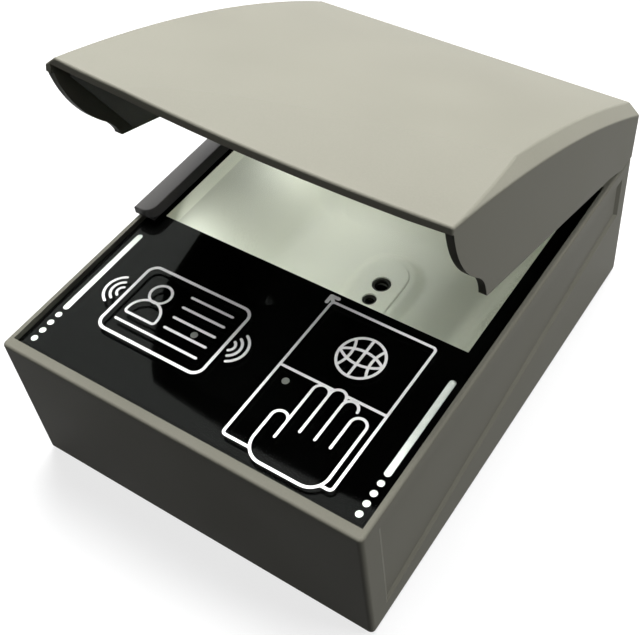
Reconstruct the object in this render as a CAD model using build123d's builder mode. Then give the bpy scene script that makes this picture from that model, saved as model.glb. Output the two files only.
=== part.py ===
# Desktop travel document scanner: a body with a glass top and a hinged hood, in millimetres.
# X points right, Y points to the rear and Z points up. The origin is under the middle of the
# scanner, on the surface that its rubber feet stand on. The hood is modelled open, on its stop.
import os
from math import cos, radians, sin, sqrt

from build123d import *

# Body
BODY_WIDTH = 160.0
BODY_LENGTH = 207.3
BODY_HEIGHT = 67.5
BODY_WALL = 2.5
BODY_CORNER_RADIUS = 2.0
RIM_EDGE_RADIUS = 1.2
BASE_EDGE_RADIUS = 0.8
FRONT_RIM_WIDTH = 4.5
SIDE_RIM_WIDTH = 2.3
DECK_DEPTH = 23.0
FOOT_PROUD = 1.5

# Shallow panel pressed into each side wall
PANEL_DEPTH = 1.1
PANEL_BEVEL = 2.2
PANEL_FRONT_MARGIN = 10.0
PANEL_REAR_MARGIN = 8.3
PANEL_TOP_MARGIN = 6.5
PANEL_FRONT_HEIGHT = 7.5
PANEL_REAR_HEIGHT = 40.0

# Glass and what lies under it
GLASS_THICKNESS = 2.0
GLASS_INSET = 0.3
GLASS_GAP = 0.3
MASK_THICKNESS = 0.2
ADHESIVE_THICKNESS = 0.5
LEDGE_WIDTH = 2.2
LEDGE_THICKNESS = 2.5
WINDOW_SIDE_MARGIN = 9.0
WINDOW_FRONT = 84.7
WINDOW_REAR_MARGIN = 29.7
WINDOW_WIDTH = BODY_WIDTH - 2 * WINDOW_SIDE_MARGIN
WINDOW_DEPTH = BODY_LENGTH - WINDOW_FRONT - WINDOW_REAR_MARGIN
SENSOR_SPACING = 42.0
SENSOR_FROM_FRONT = 41.0
SENSOR_RADIUS = 1.5
SENSOR_HOUSING_WIDTH = 6.0
SENSOR_HOUSING_DEPTH = 4.5
SENSOR_HOUSING_HEIGHT = 3.0
STATUS_SIDE_MARGIN = 7.1
STATUS_SPACING = BODY_WIDTH - 2 * STATUS_SIDE_MARGIN
STATUS_BAR_FRONT = 25.8
STATUS_BAR_LENGTH = 45.6
STATUS_BAR_WIDTH = 2.8
STATUS_DOT_RADIUS = 1.4
STATUS_DOT_FRONT = 9.6
STATUS_DOT_PITCH = 4.4
STATUS_DOT_COUNT = 4

# Stop rail on the left of the window
RAIL_TOP_WIDTH = 8.0
RAIL_FLARE = 1.8
RAIL_HEIGHT = 5.0
RAIL_LIFT = 1.7
RAIL_FRONT = 77.4
RAIL_REAR_MARGIN = 12.3
RAIL_REAR = BODY_LENGTH - RAIL_REAR_MARGIN
RAIL_CORNER_RADIUS = 5.0
RAIL_EDGE_RADIUS = 0.5
RAIL_GASKET_INSET = 1.4

# Bottom plate, feet and screws
PLATE_THICKNESS = 2.5
PLATE_GAP = 0.25
FOOT_RADIUS = 7.0
FOOT_RECESS = 1.0
FOOT_INSET = 18.0
BOSS_RADIUS = 4.0
BOSS_HEIGHT = 12.0
BOSS_INSET = 6.0
BOSS_SINK = 0.5
SCREW_RADIUS = 1.5
SCREW_HEAD_RADIUS = 2.8
SCREW_HEAD_HEIGHT = 1.5
SCREW_LENGTH = 9.0
SCREW_CLEARANCE = 0.1
SMALL_SCREW_RADIUS = 1.0
SMALL_SCREW_HEAD_RADIUS = 1.9
SMALL_SCREW_HEAD_HEIGHT = 1.2
SMALL_SCREW_GRIP = 3.0

# Light chamber
CHAMBER_WALL = 1.6
CHAMBER_TOP_GAP = 0.4
CHAMBER_SIDE_GAP = 1.2
CHAMBER_FRONT = 72.0
CHAMBER_REAR_MARGIN = 24.7
CHAMBER_REAR = BODY_LENGTH - CHAMBER_REAR_MARGIN
CHAMBER_COLLAR = 9.0
CHAMBER_CORNER_RADIUS = 2.2
FLOOR_SIDE_MARGIN = 34.0
FLOOR_CENTRE_X = 0.0
FLOOR_FRONT_RUN = 20.0
FLOOR_REAR_RUN = 14.6
FLOOR_WIDTH = BODY_WIDTH - 2 * FLOOR_SIDE_MARGIN
FLOOR_FRONT = CHAMBER_FRONT + FLOOR_FRONT_RUN
FLOOR_REAR = CHAMBER_REAR - FLOOR_REAR_RUN
FLOOR_HEIGHT = 15.5
FLOOR_CORNER_RADIUS = 14.0
FLOOR_BLEND_RADIUS = 12.0
LEG_RADIUS = 3.8
LEG_SIDE_MARGIN = 24.0
LEG_END_MARGIN = 13.3
LEG_SPACING_X = BODY_WIDTH - 2 * LEG_SIDE_MARGIN
LEG_SPACING_Y = CHAMBER_REAR - CHAMBER_FRONT - 2 * LEG_END_MARGIN
LEG_TOP = 30.0
MOUND_LENGTH = 54.0
MOUND_WIDTH = 32.0
MOUND_TOP_LENGTH = 46.0
MOUND_TOP_WIDTH = 24.0
MOUND_HEIGHT = 3.0
MOUND_CREST_RADIUS = 4.0
MOUND_FOOT_RADIUS = 5.0
BOSS_COVER_LENGTH = 41.0
BOSS_COVER_WIDTH = 19.0
BOSS_COVER_THICKNESS = 2.2
BOSS_COVER_SEAT = 1.4
BOSS_COVER_GAP = 0.15
BOSS_COVER_EDGE_RADIUS = 0.6
BOSS_CENTRE_X = 2.4
BOSS_CENTRE_FROM_FRONT = 124.5

# Cameras under the boss cover
MAIN_LENS_BEHIND = 5.8
MAIN_LENS_FROM_FRONT = BOSS_CENTRE_FROM_FRONT + MAIN_LENS_BEHIND
MAIN_APERTURE_RADIUS = 4.4
SECOND_LENS_AHEAD = 4.1
SECOND_LENS_FROM_FRONT = BOSS_CENTRE_FROM_FRONT - SECOND_LENS_AHEAD
SECOND_APERTURE_RADIUS = 3.3
BARREL_GAP = 0.2
BARREL_WALL = 1.0
BARREL_DROP = 0.8
LENS_SINK = 0.4
LENS_EDGE = 1.2
LENS_CROWN = 0.7
LENS_HALFWAY_SHARE = 0.75
BOARD_THICKNESS = 1.6
CAMERA_BOARD_HEIGHT = 6.8
CAMERA_BOARD_WIDTH = 54.0
CAMERA_BOARD_LENGTH = 50.0
MAIN_SENSOR_SIDE = 4.2
SECOND_SENSOR_SIDE = 2.4
CHIP_HEIGHT = 1.0
SCREW_EDGE = 4.0
POST_RADIUS = 2.8

# Lamps of the light chamber
LIGHT_BOARD_WIDTH = 9.0
LIGHT_BOARD_THICKNESS = 1.2
BOARD_EDGE_GAP = 0.3
LUG_LENGTH = 3.0
LAMP_SIDE = 2.8
LAMP_HEIGHT = 1.0
LAMP_PITCH = 10.0
LAMP_COUNT = 12
DIFFUSER_THICKNESS = 1.2
DIFFUSER_GAP = 0.6

# Contactless antenna board and what stands on it
ANTENNA_BOARD_MARGIN = 6.0
ANTENNA_BOARD_WIDTH = BODY_WIDTH - 2 * ANTENNA_BOARD_MARGIN
ANTENNA_BOARD_FRONT = 5.5
ANTENNA_BOARD_REAR = 70.5
ANTENNA_BOARD_DROP = 8.5
ANTENNA_BOARD_THICKNESS = 1.2
ANTENNA_POST_RADIUS = 3.0
ANTENNA_POST_INSET_X = 16.0
ANTENNA_POST_INSET_Y = 8.0
LIGHT_GUIDE_GAP = 0.1
STATUS_LAMP_HEIGHT = 1.0
STATUS_LAMP_SIDE = 2.4
STATUS_LAMP_PITCH = 8.4
STATUS_LAMP_COUNT = 5

# Main board
MAIN_BOARD_MARGIN = 12.0
MAIN_BOARD_WIDTH = BODY_WIDTH - 2 * MAIN_BOARD_MARGIN
MAIN_BOARD_FRONT = 7.0
MAIN_BOARD_LENGTH = 60.0
MAIN_BOARD_HEIGHT = 8.0
PROCESSOR_SIDE = 16.0
PROCESSOR_HEIGHT = 1.4
HEAT_SINK_SIDE = 24.0
HEAT_SINK_BASE = 2.0
HEAT_SINK_HEIGHT = 12.0
HEAT_SINK_FIN = 1.2
HEAT_SINK_FIN_COUNT = 7
MEMORY_WIDTH = 11.0
MEMORY_LENGTH = 9.0
MEMORY_SPACING = 14.0
MEMORY_OFFSET_X = 30.0

# Ports in the rear wall
PORT_BOARD_WIDTH = 80.0
PORT_BOARD_DEPTH = 17.0
PORT_BOARD_WALL_GAP = 0.6
DATA_PORT_X = -20.0
DATA_PORT_WIDTH = 9.0
DATA_PORT_HEIGHT = 3.3
DATA_PORT_DEPTH = 8.0
DATA_PORT_WALL = 0.35
DATA_PORT_TONGUE_WIDTH = 6.6
DATA_PORT_TONGUE_THICKNESS = 0.8
DATA_PORT_BACK = 1.0
POWER_INLET_X = 18.0
POWER_INLET_WIDTH = 9.4
POWER_INLET_HEIGHT = 11.0
POWER_INLET_DEPTH = 14.0
POWER_INLET_BORE_RADIUS = 3.1
POWER_INLET_BORE_DEPTH = 10.0
POWER_INLET_PIN_RADIUS = 1.0
PORT_OPENING_GAP = 0.4
PORT_FACE_INSET = 0.5

# Ribbon cables
RIBBON_THICKNESS = 0.4
RIBBON_HEIGHT = 3.4
PORT_RIBBON_WIDTH = 10.0
PORT_RIBBON_GAP = 0.6
PORT_RIBBON_X = BOSS_CENTRE_X + (CAMERA_BOARD_WIDTH + PORT_RIBBON_WIDTH) / 2 + PORT_RIBBON_GAP
CAMERA_RIBBON_WIDTH = 12.0
CAMERA_RIBBON_X = -6.0
RIBBON_OVERLAP = 4.0

# Hood, in the plane of its cheeks: reach forward of the hinge axis, and height above it
OPEN_ANGLE = 17.2
AXIS_INSET = 9.3
HOOD_FRONT_MARGIN = 50.1
CHEEK_REACH = BODY_LENGTH - HOOD_FRONT_MARGIN
AXIS_HEIGHT = 4.0
SEAT_GAP = 0.2
SEAT_FRONT = 0.5
CHEEK_DROP = 2.13
CHEEK_DIP_REACH = 14.0
LEFT_CHEEK_RAISE = 4.2
TIP_RADIUS = 1.5
HOLLOW_CENTRE_SHORT = 13.0
HOLLOW_CENTRE_REACH = CHEEK_REACH - HOLLOW_CENTRE_SHORT
HOLLOW_CENTRE_HEIGHT = -9.3
HOLLOW_RADIUS = 22.7
STEP_HEIGHT = 11.2
CHEEK_MIDDLE_SHORT = 8.6
CHEEK_MIDDLE_REACH = CHEEK_REACH - CHEEK_MIDDLE_SHORT
CHEEK_MIDDLE_HEIGHT = 23.4
CHEEK_HEIGHT = 37.5
LIP_PAST_CHEEK = 0.8
LIP_SIDE_REACH = CHEEK_REACH + LIP_PAST_CHEEK
LIP_BOW = 4.5
ROOF_RADIUS = 587.9
ROOF_CREST_SHORT = 8.1
ROOF_CREST_REACH = CHEEK_REACH - ROOF_CREST_SHORT
ROOF_CREST_HEIGHT = 43.9
HOOD_REAR_LEAN = 3.6
HOOD_WALL = 3.0
ROOF_CHAMFER_WIDTH = 5.0
ROOF_CHAMFER_DROP = 4.0
FACET_CORNER_INSET = 1.0
FACET_CORNER_SHORT = 0.2
FACET_CORNER_X = BODY_WIDTH / 2 - FACET_CORNER_INSET
FACET_CORNER_REACH = CHEEK_REACH - FACET_CORNER_SHORT
FACET_CORNER_HEIGHT = 40.2
FACET_SIDE_FALL = 0.0306
FACET_FRONT_FALL = 0.0437
ROOF_LINE_RADIUS = 1.5
SIDE_LINE_RADIUS = 1.0
REAR_LINE_RADIUS = 1.0
LIP_LINE_RADIUS = 0.8

# Liner inside the hood
LINER_GAP = 0.3
LINER_THICKNESS = 1.4
LINER_REAR_REACH = 18.0
LINER_FRONT_SHORT = 7.2
LINER_FRONT_REACH = CHEEK_REACH - LINER_FRONT_SHORT
LINER_SKIRT_HEIGHT = 4.5
LINER_SKIRT_SHORT = 37.2
LINER_SKIRT_REACH = CHEEK_REACH - LINER_SKIRT_SHORT
LINER_FRONT_HEIGHT = 34.0
LINER_SCREW_INSET = 30.0
LINER_SCREW_SPACING = BODY_WIDTH - 2 * LINER_SCREW_INSET
LINER_SCREW_REAR = 40.0
LINER_SCREW_SHORT = 57.2
LINER_SCREW_FRONT = CHEEK_REACH - LINER_SCREW_SHORT
LINER_SCREW_GRIP = 2.0
LINER_SCREW_SEAT = 0.02

# Hinges
HINGE_INSET = 21.0
HINGE_SPACING = BODY_WIDTH - 2 * HINGE_INSET
BRACKET_THICKNESS = 1.5
EAR_THICKNESS = 2.0
EAR_RADIUS = 3.5
FOOT_PLATE_WIDTH = 14.0
FOOT_PLATE_FRONT = 9.0
FOOT_PLATE_REAR = 5.6
BRACKET_REAR_SCREW_EDGE = 3.2
PIN_RADIUS = 1.3
PIN_RUNNING_GAP = 0.05
PIN_HEAD_RADIUS = 2.3
PIN_HEAD_THICKNESS = 1.2
FRICTION_WASHER_THICKNESS = 0.4
SIDE_PLAY = 0.05
ARM_THICKNESS = 2.0
ARM_RADIUS = 3.3
ARM_HEIGHT = 13.0
LEAF_WIDTH = 16.0
LEAF_HEIGHT = 10.0
LEAF_PAD = 3.0
LEAF_SCREW_OFFSET = 3.8
LEAF_SCREW_GRIP = 4.5
WASHER_RADIUS = 2.3
WASHER_THICKNESS = 0.9
NUT_RADIUS = 2.4
NUT_THICKNESS = 2.0

# How far from a height an edge may lie and still count as being at it
LEVEL_TOLERANCE = 0.01

os.makedirs("parts", exist_ok=True)


def save(piece, label):
    """Name a finished piece and write its STEP file."""
    piece.part.label = label
    export_step(piece.part, f"parts/{label}.step")


# Hood directions: (reach, height) in the hood's own plane from (behind, above) in the open pose
OPEN_COS = cos(radians(OPEN_ANGLE))
OPEN_SIN = sin(radians(OPEN_ANGLE))


def hood_point(behind, above):
    """Reach and height, in the hood's plane, of a point given from the axis in the open pose."""
    return (-behind * OPEN_COS + above * OPEN_SIN, behind * OPEN_SIN + above * OPEN_COS)


def roof_height(reach, radius):
    """Height of an arc about the roof's centre, at a reach from the hinge axis."""
    centre_height = ROOF_CREST_HEIGHT - ROOF_RADIUS
    return centre_height + sqrt(radius**2 - (reach - ROOF_CREST_REACH) ** 2)


def wall_top(start, angle, radius):
    """Where a line that climbs at an angle in the hood's plane meets an arc of the roof."""
    along = (cos(radians(angle)), sin(radians(angle)))
    offset = (start[0] - ROOF_CREST_REACH, start[1] - (ROOF_CREST_HEIGHT - ROOF_RADIUS))
    half = offset[0] * along[0] + offset[1] * along[1]
    rest = offset[0] ** 2 + offset[1] ** 2 - radius**2
    length = -half + sqrt(half**2 - rest)
    return (start[0] + length * along[0], start[1] + length * along[1])


REAR_WALL_ANGLE = 90.0 + HOOD_REAR_LEAN - OPEN_ANGLE
REAR_WALL_FOOT = hood_point(AXIS_INSET, SEAT_GAP - AXIS_HEIGHT)
REAR_WALL_HEAD = wall_top(REAR_WALL_FOOT, REAR_WALL_ANGLE, ROOF_RADIUS)
REAR_OVERHANG = -REAR_WALL_HEAD[0] * OPEN_COS + REAR_WALL_HEAD[1] * OPEN_SIN - AXIS_INSET

# Planes and heights that the pieces share
FRONT_Y = -(BODY_LENGTH + REAR_OVERHANG) / 2
REAR_Y = FRONT_Y + BODY_LENGTH
MIDDLE_Y = (FRONT_Y + REAR_Y) / 2
BASE_Z = FOOT_PROUD
RIM_Z = BASE_Z + BODY_HEIGHT
GLASS_TOP_Z = RIM_Z - GLASS_INSET
GLASS_UNDER_Z = GLASS_TOP_Z - GLASS_THICKNESS
MASK_UNDER_Z = GLASS_UNDER_Z - MASK_THICKNESS
LEDGE_TOP_Z = MASK_UNDER_Z - ADHESIVE_THICKNESS
CAVITY_TOP_Z = LEDGE_TOP_Z - LEDGE_THICKNESS
PLATE_TOP_Z = BASE_Z + PLATE_THICKNESS
CAVITY_HALF_WIDTH = BODY_WIDTH / 2 - BODY_WALL
CAVITY_FRONT_Y = FRONT_Y + BODY_WALL
CAVITY_REAR_Y = REAR_Y - BODY_WALL
POCKET_HALF_WIDTH = BODY_WIDTH / 2 - SIDE_RIM_WIDTH
POCKET_FRONT_Y = FRONT_Y + FRONT_RIM_WIDTH
POCKET_REAR_Y = REAR_Y - DECK_DEPTH
POCKET_LENGTH = POCKET_REAR_Y - POCKET_FRONT_Y
POCKET_MIDDLE_Y = (POCKET_REAR_Y + POCKET_FRONT_Y) / 2
WINDOW_MIDDLE_Y = FRONT_Y + WINDOW_FRONT + WINDOW_DEPTH / 2
AXIS_Y = REAR_Y - AXIS_INSET
AXIS_Z = RIM_Z + AXIS_HEIGHT

REACH_DIRECTION = Vector(0, -OPEN_COS, OPEN_SIN)
HEIGHT_DIRECTION = Vector(0, OPEN_SIN, OPEN_COS)
HOOD_PLANE = Plane(origin=(0, AXIS_Y, AXIS_Z), x_dir=REACH_DIRECTION, z_dir=(-1, 0, 0))


def level(height):
    """Horizontal plane at a height above the standing surface."""
    return Plane.XY.offset(height)


def edges_at(piece, height):
    """Edges of a piece that lie flat at one height."""
    return piece.edges().filter_by_position(
        Axis.Z, height - LEVEL_TOLERANCE, height + LEVEL_TOLERANCE
    )


def hood_place(x, reach, height):
    """Point of the open hood from its reach and height about the hinge axis."""
    return Vector(x, AXIS_Y, AXIS_Z) + REACH_DIRECTION * reach + HEIGHT_DIRECTION * height


# Body shell: walls, glass ledge, rear deck, screw bosses and port openings
BOSS_X = CAVITY_HALF_WIDTH - BOSS_RADIUS + BOSS_SINK
BOSS_PLACES = [
    (side * BOSS_X, y)
    for side in (-1, 1)
    for y in (CAVITY_FRONT_Y + BOSS_INSET, MIDDLE_Y, CAVITY_REAR_Y - BOSS_INSET)
]
PORT_BOARD_Z = PLATE_TOP_Z + MAIN_BOARD_HEIGHT - PLATE_THICKNESS
PORT_BOARD_TOP_Z = PORT_BOARD_Z + BOARD_THICKNESS
DATA_PORT_Z = PORT_BOARD_TOP_Z + DATA_PORT_HEIGHT / 2
POWER_INLET_Z = PORT_BOARD_TOP_Z + POWER_INLET_HEIGHT / 2
BRACKET_SCREW_X = HINGE_SPACING / 2 - EAR_THICKNESS - FOOT_PLATE_WIDTH / 2
BRACKET_SCREW_PLACES = [
    (side * BRACKET_SCREW_X, AXIS_Y + y)
    for side in (-1, 1)
    for y in (SCREW_EDGE - FOOT_PLATE_FRONT, FOOT_PLATE_REAR - BRACKET_REAR_SCREW_EDGE)
]

with BuildPart() as body_shell:
    with BuildSketch(level(BASE_Z)):
        with Locations((0, MIDDLE_Y)):
            RectangleRounded(BODY_WIDTH, BODY_LENGTH, BODY_CORNER_RADIUS)
    extrude(amount=BODY_HEIGHT)
    fillet(body_shell.faces().sort_by(Axis.Z)[-1].edges(), RIM_EDGE_RADIUS)
    fillet(body_shell.faces().sort_by(Axis.Z)[0].edges(), BASE_EDGE_RADIUS)
    with BuildSketch(level(BASE_Z)):
        with Locations((0, MIDDLE_Y)):
            Rectangle(2 * CAVITY_HALF_WIDTH, BODY_LENGTH - 2 * BODY_WALL)
    extrude(amount=CAVITY_TOP_Z - BASE_Z, mode=Mode.SUBTRACT)
    with BuildSketch(level(RIM_Z)):
        with Locations((0, POCKET_MIDDLE_Y)):
            Rectangle(2 * POCKET_HALF_WIDTH, POCKET_LENGTH)
    extrude(amount=LEDGE_TOP_Z - RIM_Z, mode=Mode.SUBTRACT)
    with BuildSketch(level(RIM_Z)):
        with Locations((0, POCKET_MIDDLE_Y)):
            Rectangle(2 * (POCKET_HALF_WIDTH - LEDGE_WIDTH), POCKET_LENGTH - 2 * LEDGE_WIDTH)
    extrude(amount=CAVITY_TOP_Z - RIM_Z, mode=Mode.SUBTRACT)
    for side in (-1, 1):
        wall_plane = Plane(
            origin=(side * BODY_WIDTH / 2, FRONT_Y, BASE_Z), x_dir=(0, 1, 0), z_dir=(side, 0, 0)
        )
        panel_corners = [
            (PANEL_FRONT_MARGIN, PANEL_FRONT_HEIGHT),
            (BODY_LENGTH - PANEL_REAR_MARGIN, PANEL_REAR_HEIGHT),
            (BODY_LENGTH - PANEL_REAR_MARGIN, BODY_HEIGHT - PANEL_TOP_MARGIN),
            (PANEL_FRONT_MARGIN, BODY_HEIGHT - PANEL_TOP_MARGIN),
        ]
        with BuildSketch(wall_plane):
            with BuildLine():
                Polyline([(y, side * z) for y, z in panel_corners], close=True)
            make_face()
        with BuildSketch(wall_plane.offset(-PANEL_DEPTH)):
            with BuildLine():
                Polyline([(y, side * z) for y, z in panel_corners], close=True)
            make_face()
            offset(amount=-PANEL_BEVEL, kind=Kind.INTERSECTION, mode=Mode.REPLACE)
        loft(ruled=True, mode=Mode.SUBTRACT)
    with BuildSketch(level(PLATE_TOP_Z)):
        with Locations(BOSS_PLACES):
            Circle(BOSS_RADIUS)
    extrude(amount=BOSS_HEIGHT)
    with BuildSketch(level(PLATE_TOP_Z)):
        with Locations(BOSS_PLACES):
            Circle(SCREW_RADIUS)
    extrude(amount=BOSS_HEIGHT - BODY_WALL, mode=Mode.SUBTRACT)
    with BuildSketch(level(RIM_Z)):
        with Locations(BRACKET_SCREW_PLACES):
            Circle(SCREW_RADIUS)
    extrude(amount=-(RIM_Z - CAVITY_TOP_Z), mode=Mode.SUBTRACT)
    with BuildSketch(Plane.XZ.offset(-REAR_Y)):
        with Locations((DATA_PORT_X, DATA_PORT_Z)):
            SlotOverall(
                DATA_PORT_WIDTH + 2 * PORT_OPENING_GAP, DATA_PORT_HEIGHT + 2 * PORT_OPENING_GAP
            )
        with Locations((POWER_INLET_X, POWER_INLET_Z)):
            Rectangle(
                POWER_INLET_WIDTH + 2 * PORT_OPENING_GAP, POWER_INLET_HEIGHT + 2 * PORT_OPENING_GAP
            )
    extrude(amount=BODY_WALL, mode=Mode.SUBTRACT)
save(body_shell, "body_shell")

# Bottom plate with posts for the boards, recesses for the feet and sunk screw holes
FOOT_PLACES = [
    (x * (CAVITY_HALF_WIDTH - FOOT_INSET), y)
    for x in (-1, 1)
    for y in (CAVITY_FRONT_Y + FOOT_INSET, CAVITY_REAR_Y - FOOT_INSET)
]
CHAMBER_MIDDLE_Y = FRONT_Y + (CHAMBER_FRONT + CHAMBER_REAR) / 2
LEG_PLACES = [
    (FLOOR_CENTRE_X + x * LEG_SPACING_X / 2, CHAMBER_MIDDLE_Y + y * LEG_SPACING_Y / 2)
    for x in (-1, 1)
    for y in (-1, 1)
]
MAIN_BOARD_MIDDLE_Y = FRONT_Y + MAIN_BOARD_FRONT + MAIN_BOARD_LENGTH / 2
MAIN_BOARD_Z = BASE_Z + MAIN_BOARD_HEIGHT
MAIN_POST_PLACES = [
    (x * (MAIN_BOARD_WIDTH / 2 - SCREW_EDGE), MAIN_BOARD_MIDDLE_Y + y)
    for x in (-1, 1)
    for y in (-(MAIN_BOARD_LENGTH / 2 - SCREW_EDGE), MAIN_BOARD_LENGTH / 2 - SCREW_EDGE)
]
CAMERA_BOARD_Z = BASE_Z + CAMERA_BOARD_HEIGHT
BOSS_MIDDLE_Y = FRONT_Y + BOSS_CENTRE_FROM_FRONT
CAMERA_POST_PLACES = [
    (BOSS_CENTRE_X + x * (CAMERA_BOARD_WIDTH / 2 - SCREW_EDGE), BOSS_MIDDLE_Y + y)
    for x in (-1, 1)
    for y in (-(CAMERA_BOARD_LENGTH / 2 - SCREW_EDGE), CAMERA_BOARD_LENGTH / 2 - SCREW_EDGE)
]
PORT_BOARD_MIDDLE_Y = CAVITY_REAR_Y - PORT_BOARD_WALL_GAP - PORT_BOARD_DEPTH / 2
PORT_POST_PLACES = [
    (x * (PORT_BOARD_WIDTH / 2 - SCREW_EDGE), PORT_BOARD_MIDDLE_Y) for x in (-1, 1)
]
ANTENNA_BOARD_Z = MASK_UNDER_Z - ANTENNA_BOARD_DROP - ANTENNA_BOARD_THICKNESS
ANTENNA_MIDDLE_Y = FRONT_Y + (ANTENNA_BOARD_FRONT + ANTENNA_BOARD_REAR) / 2
ANTENNA_LENGTH = ANTENNA_BOARD_REAR - ANTENNA_BOARD_FRONT
ANTENNA_POST_PLACES = [
    (x * (MAIN_BOARD_WIDTH / 2 - ANTENNA_POST_INSET_X), ANTENNA_MIDDLE_Y + y)
    for x in (-1, 1)
    for y in (
        -(ANTENNA_LENGTH / 2 - ANTENNA_POST_INSET_Y),
        ANTENNA_LENGTH / 2 - ANTENNA_POST_INSET_Y,
    )
]

with BuildPart() as bottom_plate:
    with BuildSketch(level(BASE_Z)):
        with Locations((0, MIDDLE_Y)):
            Rectangle(
                2 * (CAVITY_HALF_WIDTH - PLATE_GAP), BODY_LENGTH - 2 * (BODY_WALL + PLATE_GAP)
            )
    extrude(amount=PLATE_THICKNESS)
    for post_places, post_top in (
        (MAIN_POST_PLACES, MAIN_BOARD_Z),
        (CAMERA_POST_PLACES, CAMERA_BOARD_Z),
        (PORT_POST_PLACES, PORT_BOARD_Z),
    ):
        with BuildSketch(level(PLATE_TOP_Z)):
            with Locations(post_places):
                Circle(POST_RADIUS)
        extrude(amount=post_top - PLATE_TOP_Z)
        with BuildSketch(level(post_top)):
            with Locations(post_places):
                Circle(SMALL_SCREW_RADIUS)
        extrude(amount=-SMALL_SCREW_GRIP, mode=Mode.SUBTRACT)
    with BuildSketch(level(BASE_Z)):
        with Locations(FOOT_PLACES):
            Circle(FOOT_RADIUS + SCREW_CLEARANCE)
    extrude(amount=FOOT_RECESS, mode=Mode.SUBTRACT)
    with BuildSketch(level(BASE_Z)):
        with Locations(BOSS_PLACES + LEG_PLACES + ANTENNA_POST_PLACES):
            Circle(SCREW_HEAD_RADIUS + SCREW_CLEARANCE)
    extrude(amount=SCREW_HEAD_HEIGHT, mode=Mode.SUBTRACT)
    with BuildSketch(level(BASE_Z)):
        with Locations(BOSS_PLACES + LEG_PLACES + ANTENNA_POST_PLACES):
            Circle(SCREW_RADIUS + SCREW_CLEARANCE)
    extrude(amount=PLATE_THICKNESS, mode=Mode.SUBTRACT)
save(bottom_plate, "bottom_plate")

with BuildPart() as rubber_feet:
    with BuildSketch(Plane.XY):
        with Locations(FOOT_PLACES):
            Circle(FOOT_RADIUS)
    extrude(amount=FOOT_PROUD + FOOT_RECESS)
    chamfer(rubber_feet.faces().group_by(Axis.Z)[0].edges(), BASE_EDGE_RADIUS)
save(rubber_feet, "rubber_feet")

for screw_name, screw_places in (
    ("bottom_screws", BOSS_PLACES),
    ("chamber_screws", LEG_PLACES),
    ("antenna_post_screws", ANTENNA_POST_PLACES),
):
    with BuildPart() as plate_screws:
        with BuildSketch(level(BASE_Z)):
            with Locations(screw_places):
                Circle(SCREW_HEAD_RADIUS)
        extrude(amount=SCREW_HEAD_HEIGHT)
        with BuildSketch(level(BASE_Z + SCREW_HEAD_HEIGHT)):
            with Locations(screw_places):
                Circle(SCREW_RADIUS)
        extrude(amount=SCREW_LENGTH)
        with BuildSketch(level(BASE_Z)):
            with Locations(screw_places):
                RegularPolygon(SCREW_RADIUS, 6)
        extrude(amount=SCREW_HEAD_HEIGHT / 2, mode=Mode.SUBTRACT)
    save(plate_screws, screw_name)

# Glass, its black print and its adhesive frame
GLASS_HALF_WIDTH = POCKET_HALF_WIDTH - GLASS_GAP
GLASS_LENGTH = POCKET_LENGTH - 2 * GLASS_GAP
SENSOR_PLACES = [(x * SENSOR_SPACING / 2, FRONT_Y + SENSOR_FROM_FRONT) for x in (-1, 1)]
STATUS_XS = {"left": -STATUS_SPACING / 2, "right": STATUS_SPACING / 2}


def status_marks(x, mode=Mode.ADD):
    """Draw one side's status bar and dots in the sketch that is being built."""
    with Locations(Location((x, FRONT_Y + STATUS_BAR_FRONT + STATUS_BAR_LENGTH / 2), 90)):
        SlotOverall(STATUS_BAR_LENGTH, STATUS_BAR_WIDTH, mode=mode)
    dot_ys = [FRONT_Y + STATUS_DOT_FRONT + i * STATUS_DOT_PITCH for i in range(STATUS_DOT_COUNT)]
    with Locations([(x, y) for y in dot_ys]):
        Circle(STATUS_DOT_RADIUS, mode=mode)


with BuildPart() as cover_glass:
    with BuildSketch(level(GLASS_UNDER_Z)):
        with Locations((0, POCKET_MIDDLE_Y)):
            Rectangle(2 * GLASS_HALF_WIDTH, GLASS_LENGTH)
    extrude(amount=GLASS_THICKNESS)
    chamfer(cover_glass.faces().sort_by(Axis.Z)[-1].edges(), GLASS_GAP)
save(cover_glass, "cover_glass")

with BuildPart() as black_mask:
    with BuildSketch(level(MASK_UNDER_Z)):
        with Locations((0, POCKET_MIDDLE_Y)):
            Rectangle(2 * GLASS_HALF_WIDTH, GLASS_LENGTH)
        with Locations((0, WINDOW_MIDDLE_Y)):
            Rectangle(WINDOW_WIDTH, WINDOW_DEPTH, mode=Mode.SUBTRACT)
        with Locations(SENSOR_PLACES):
            Circle(SENSOR_RADIUS, mode=Mode.SUBTRACT)
        for marks_x in STATUS_XS.values():
            status_marks(marks_x, Mode.SUBTRACT)
    extrude(amount=MASK_THICKNESS)
save(black_mask, "black_mask")

with BuildPart() as adhesive_frame:
    with BuildSketch(level(LEDGE_TOP_Z)):
        with Locations((0, POCKET_MIDDLE_Y)):
            Rectangle(2 * GLASS_HALF_WIDTH, GLASS_LENGTH)
            Rectangle(
                2 * (POCKET_HALF_WIDTH - LEDGE_WIDTH + GLASS_GAP),
                POCKET_LENGTH - 2 * (LEDGE_WIDTH - GLASS_GAP),
                mode=Mode.SUBTRACT,
            )
    extrude(amount=ADHESIVE_THICKNESS)
save(adhesive_frame, "adhesive_frame")

# Stop rail on the left, on its black gasket
RAIL_LEFT_X = -BODY_WIDTH / 2
RAIL_INNER_X = RAIL_LEFT_X + RAIL_TOP_WIDTH
RAIL_FRONT_Y = FRONT_Y + RAIL_FRONT
RAIL_REAR_Y = FRONT_Y + RAIL_REAR

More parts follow.
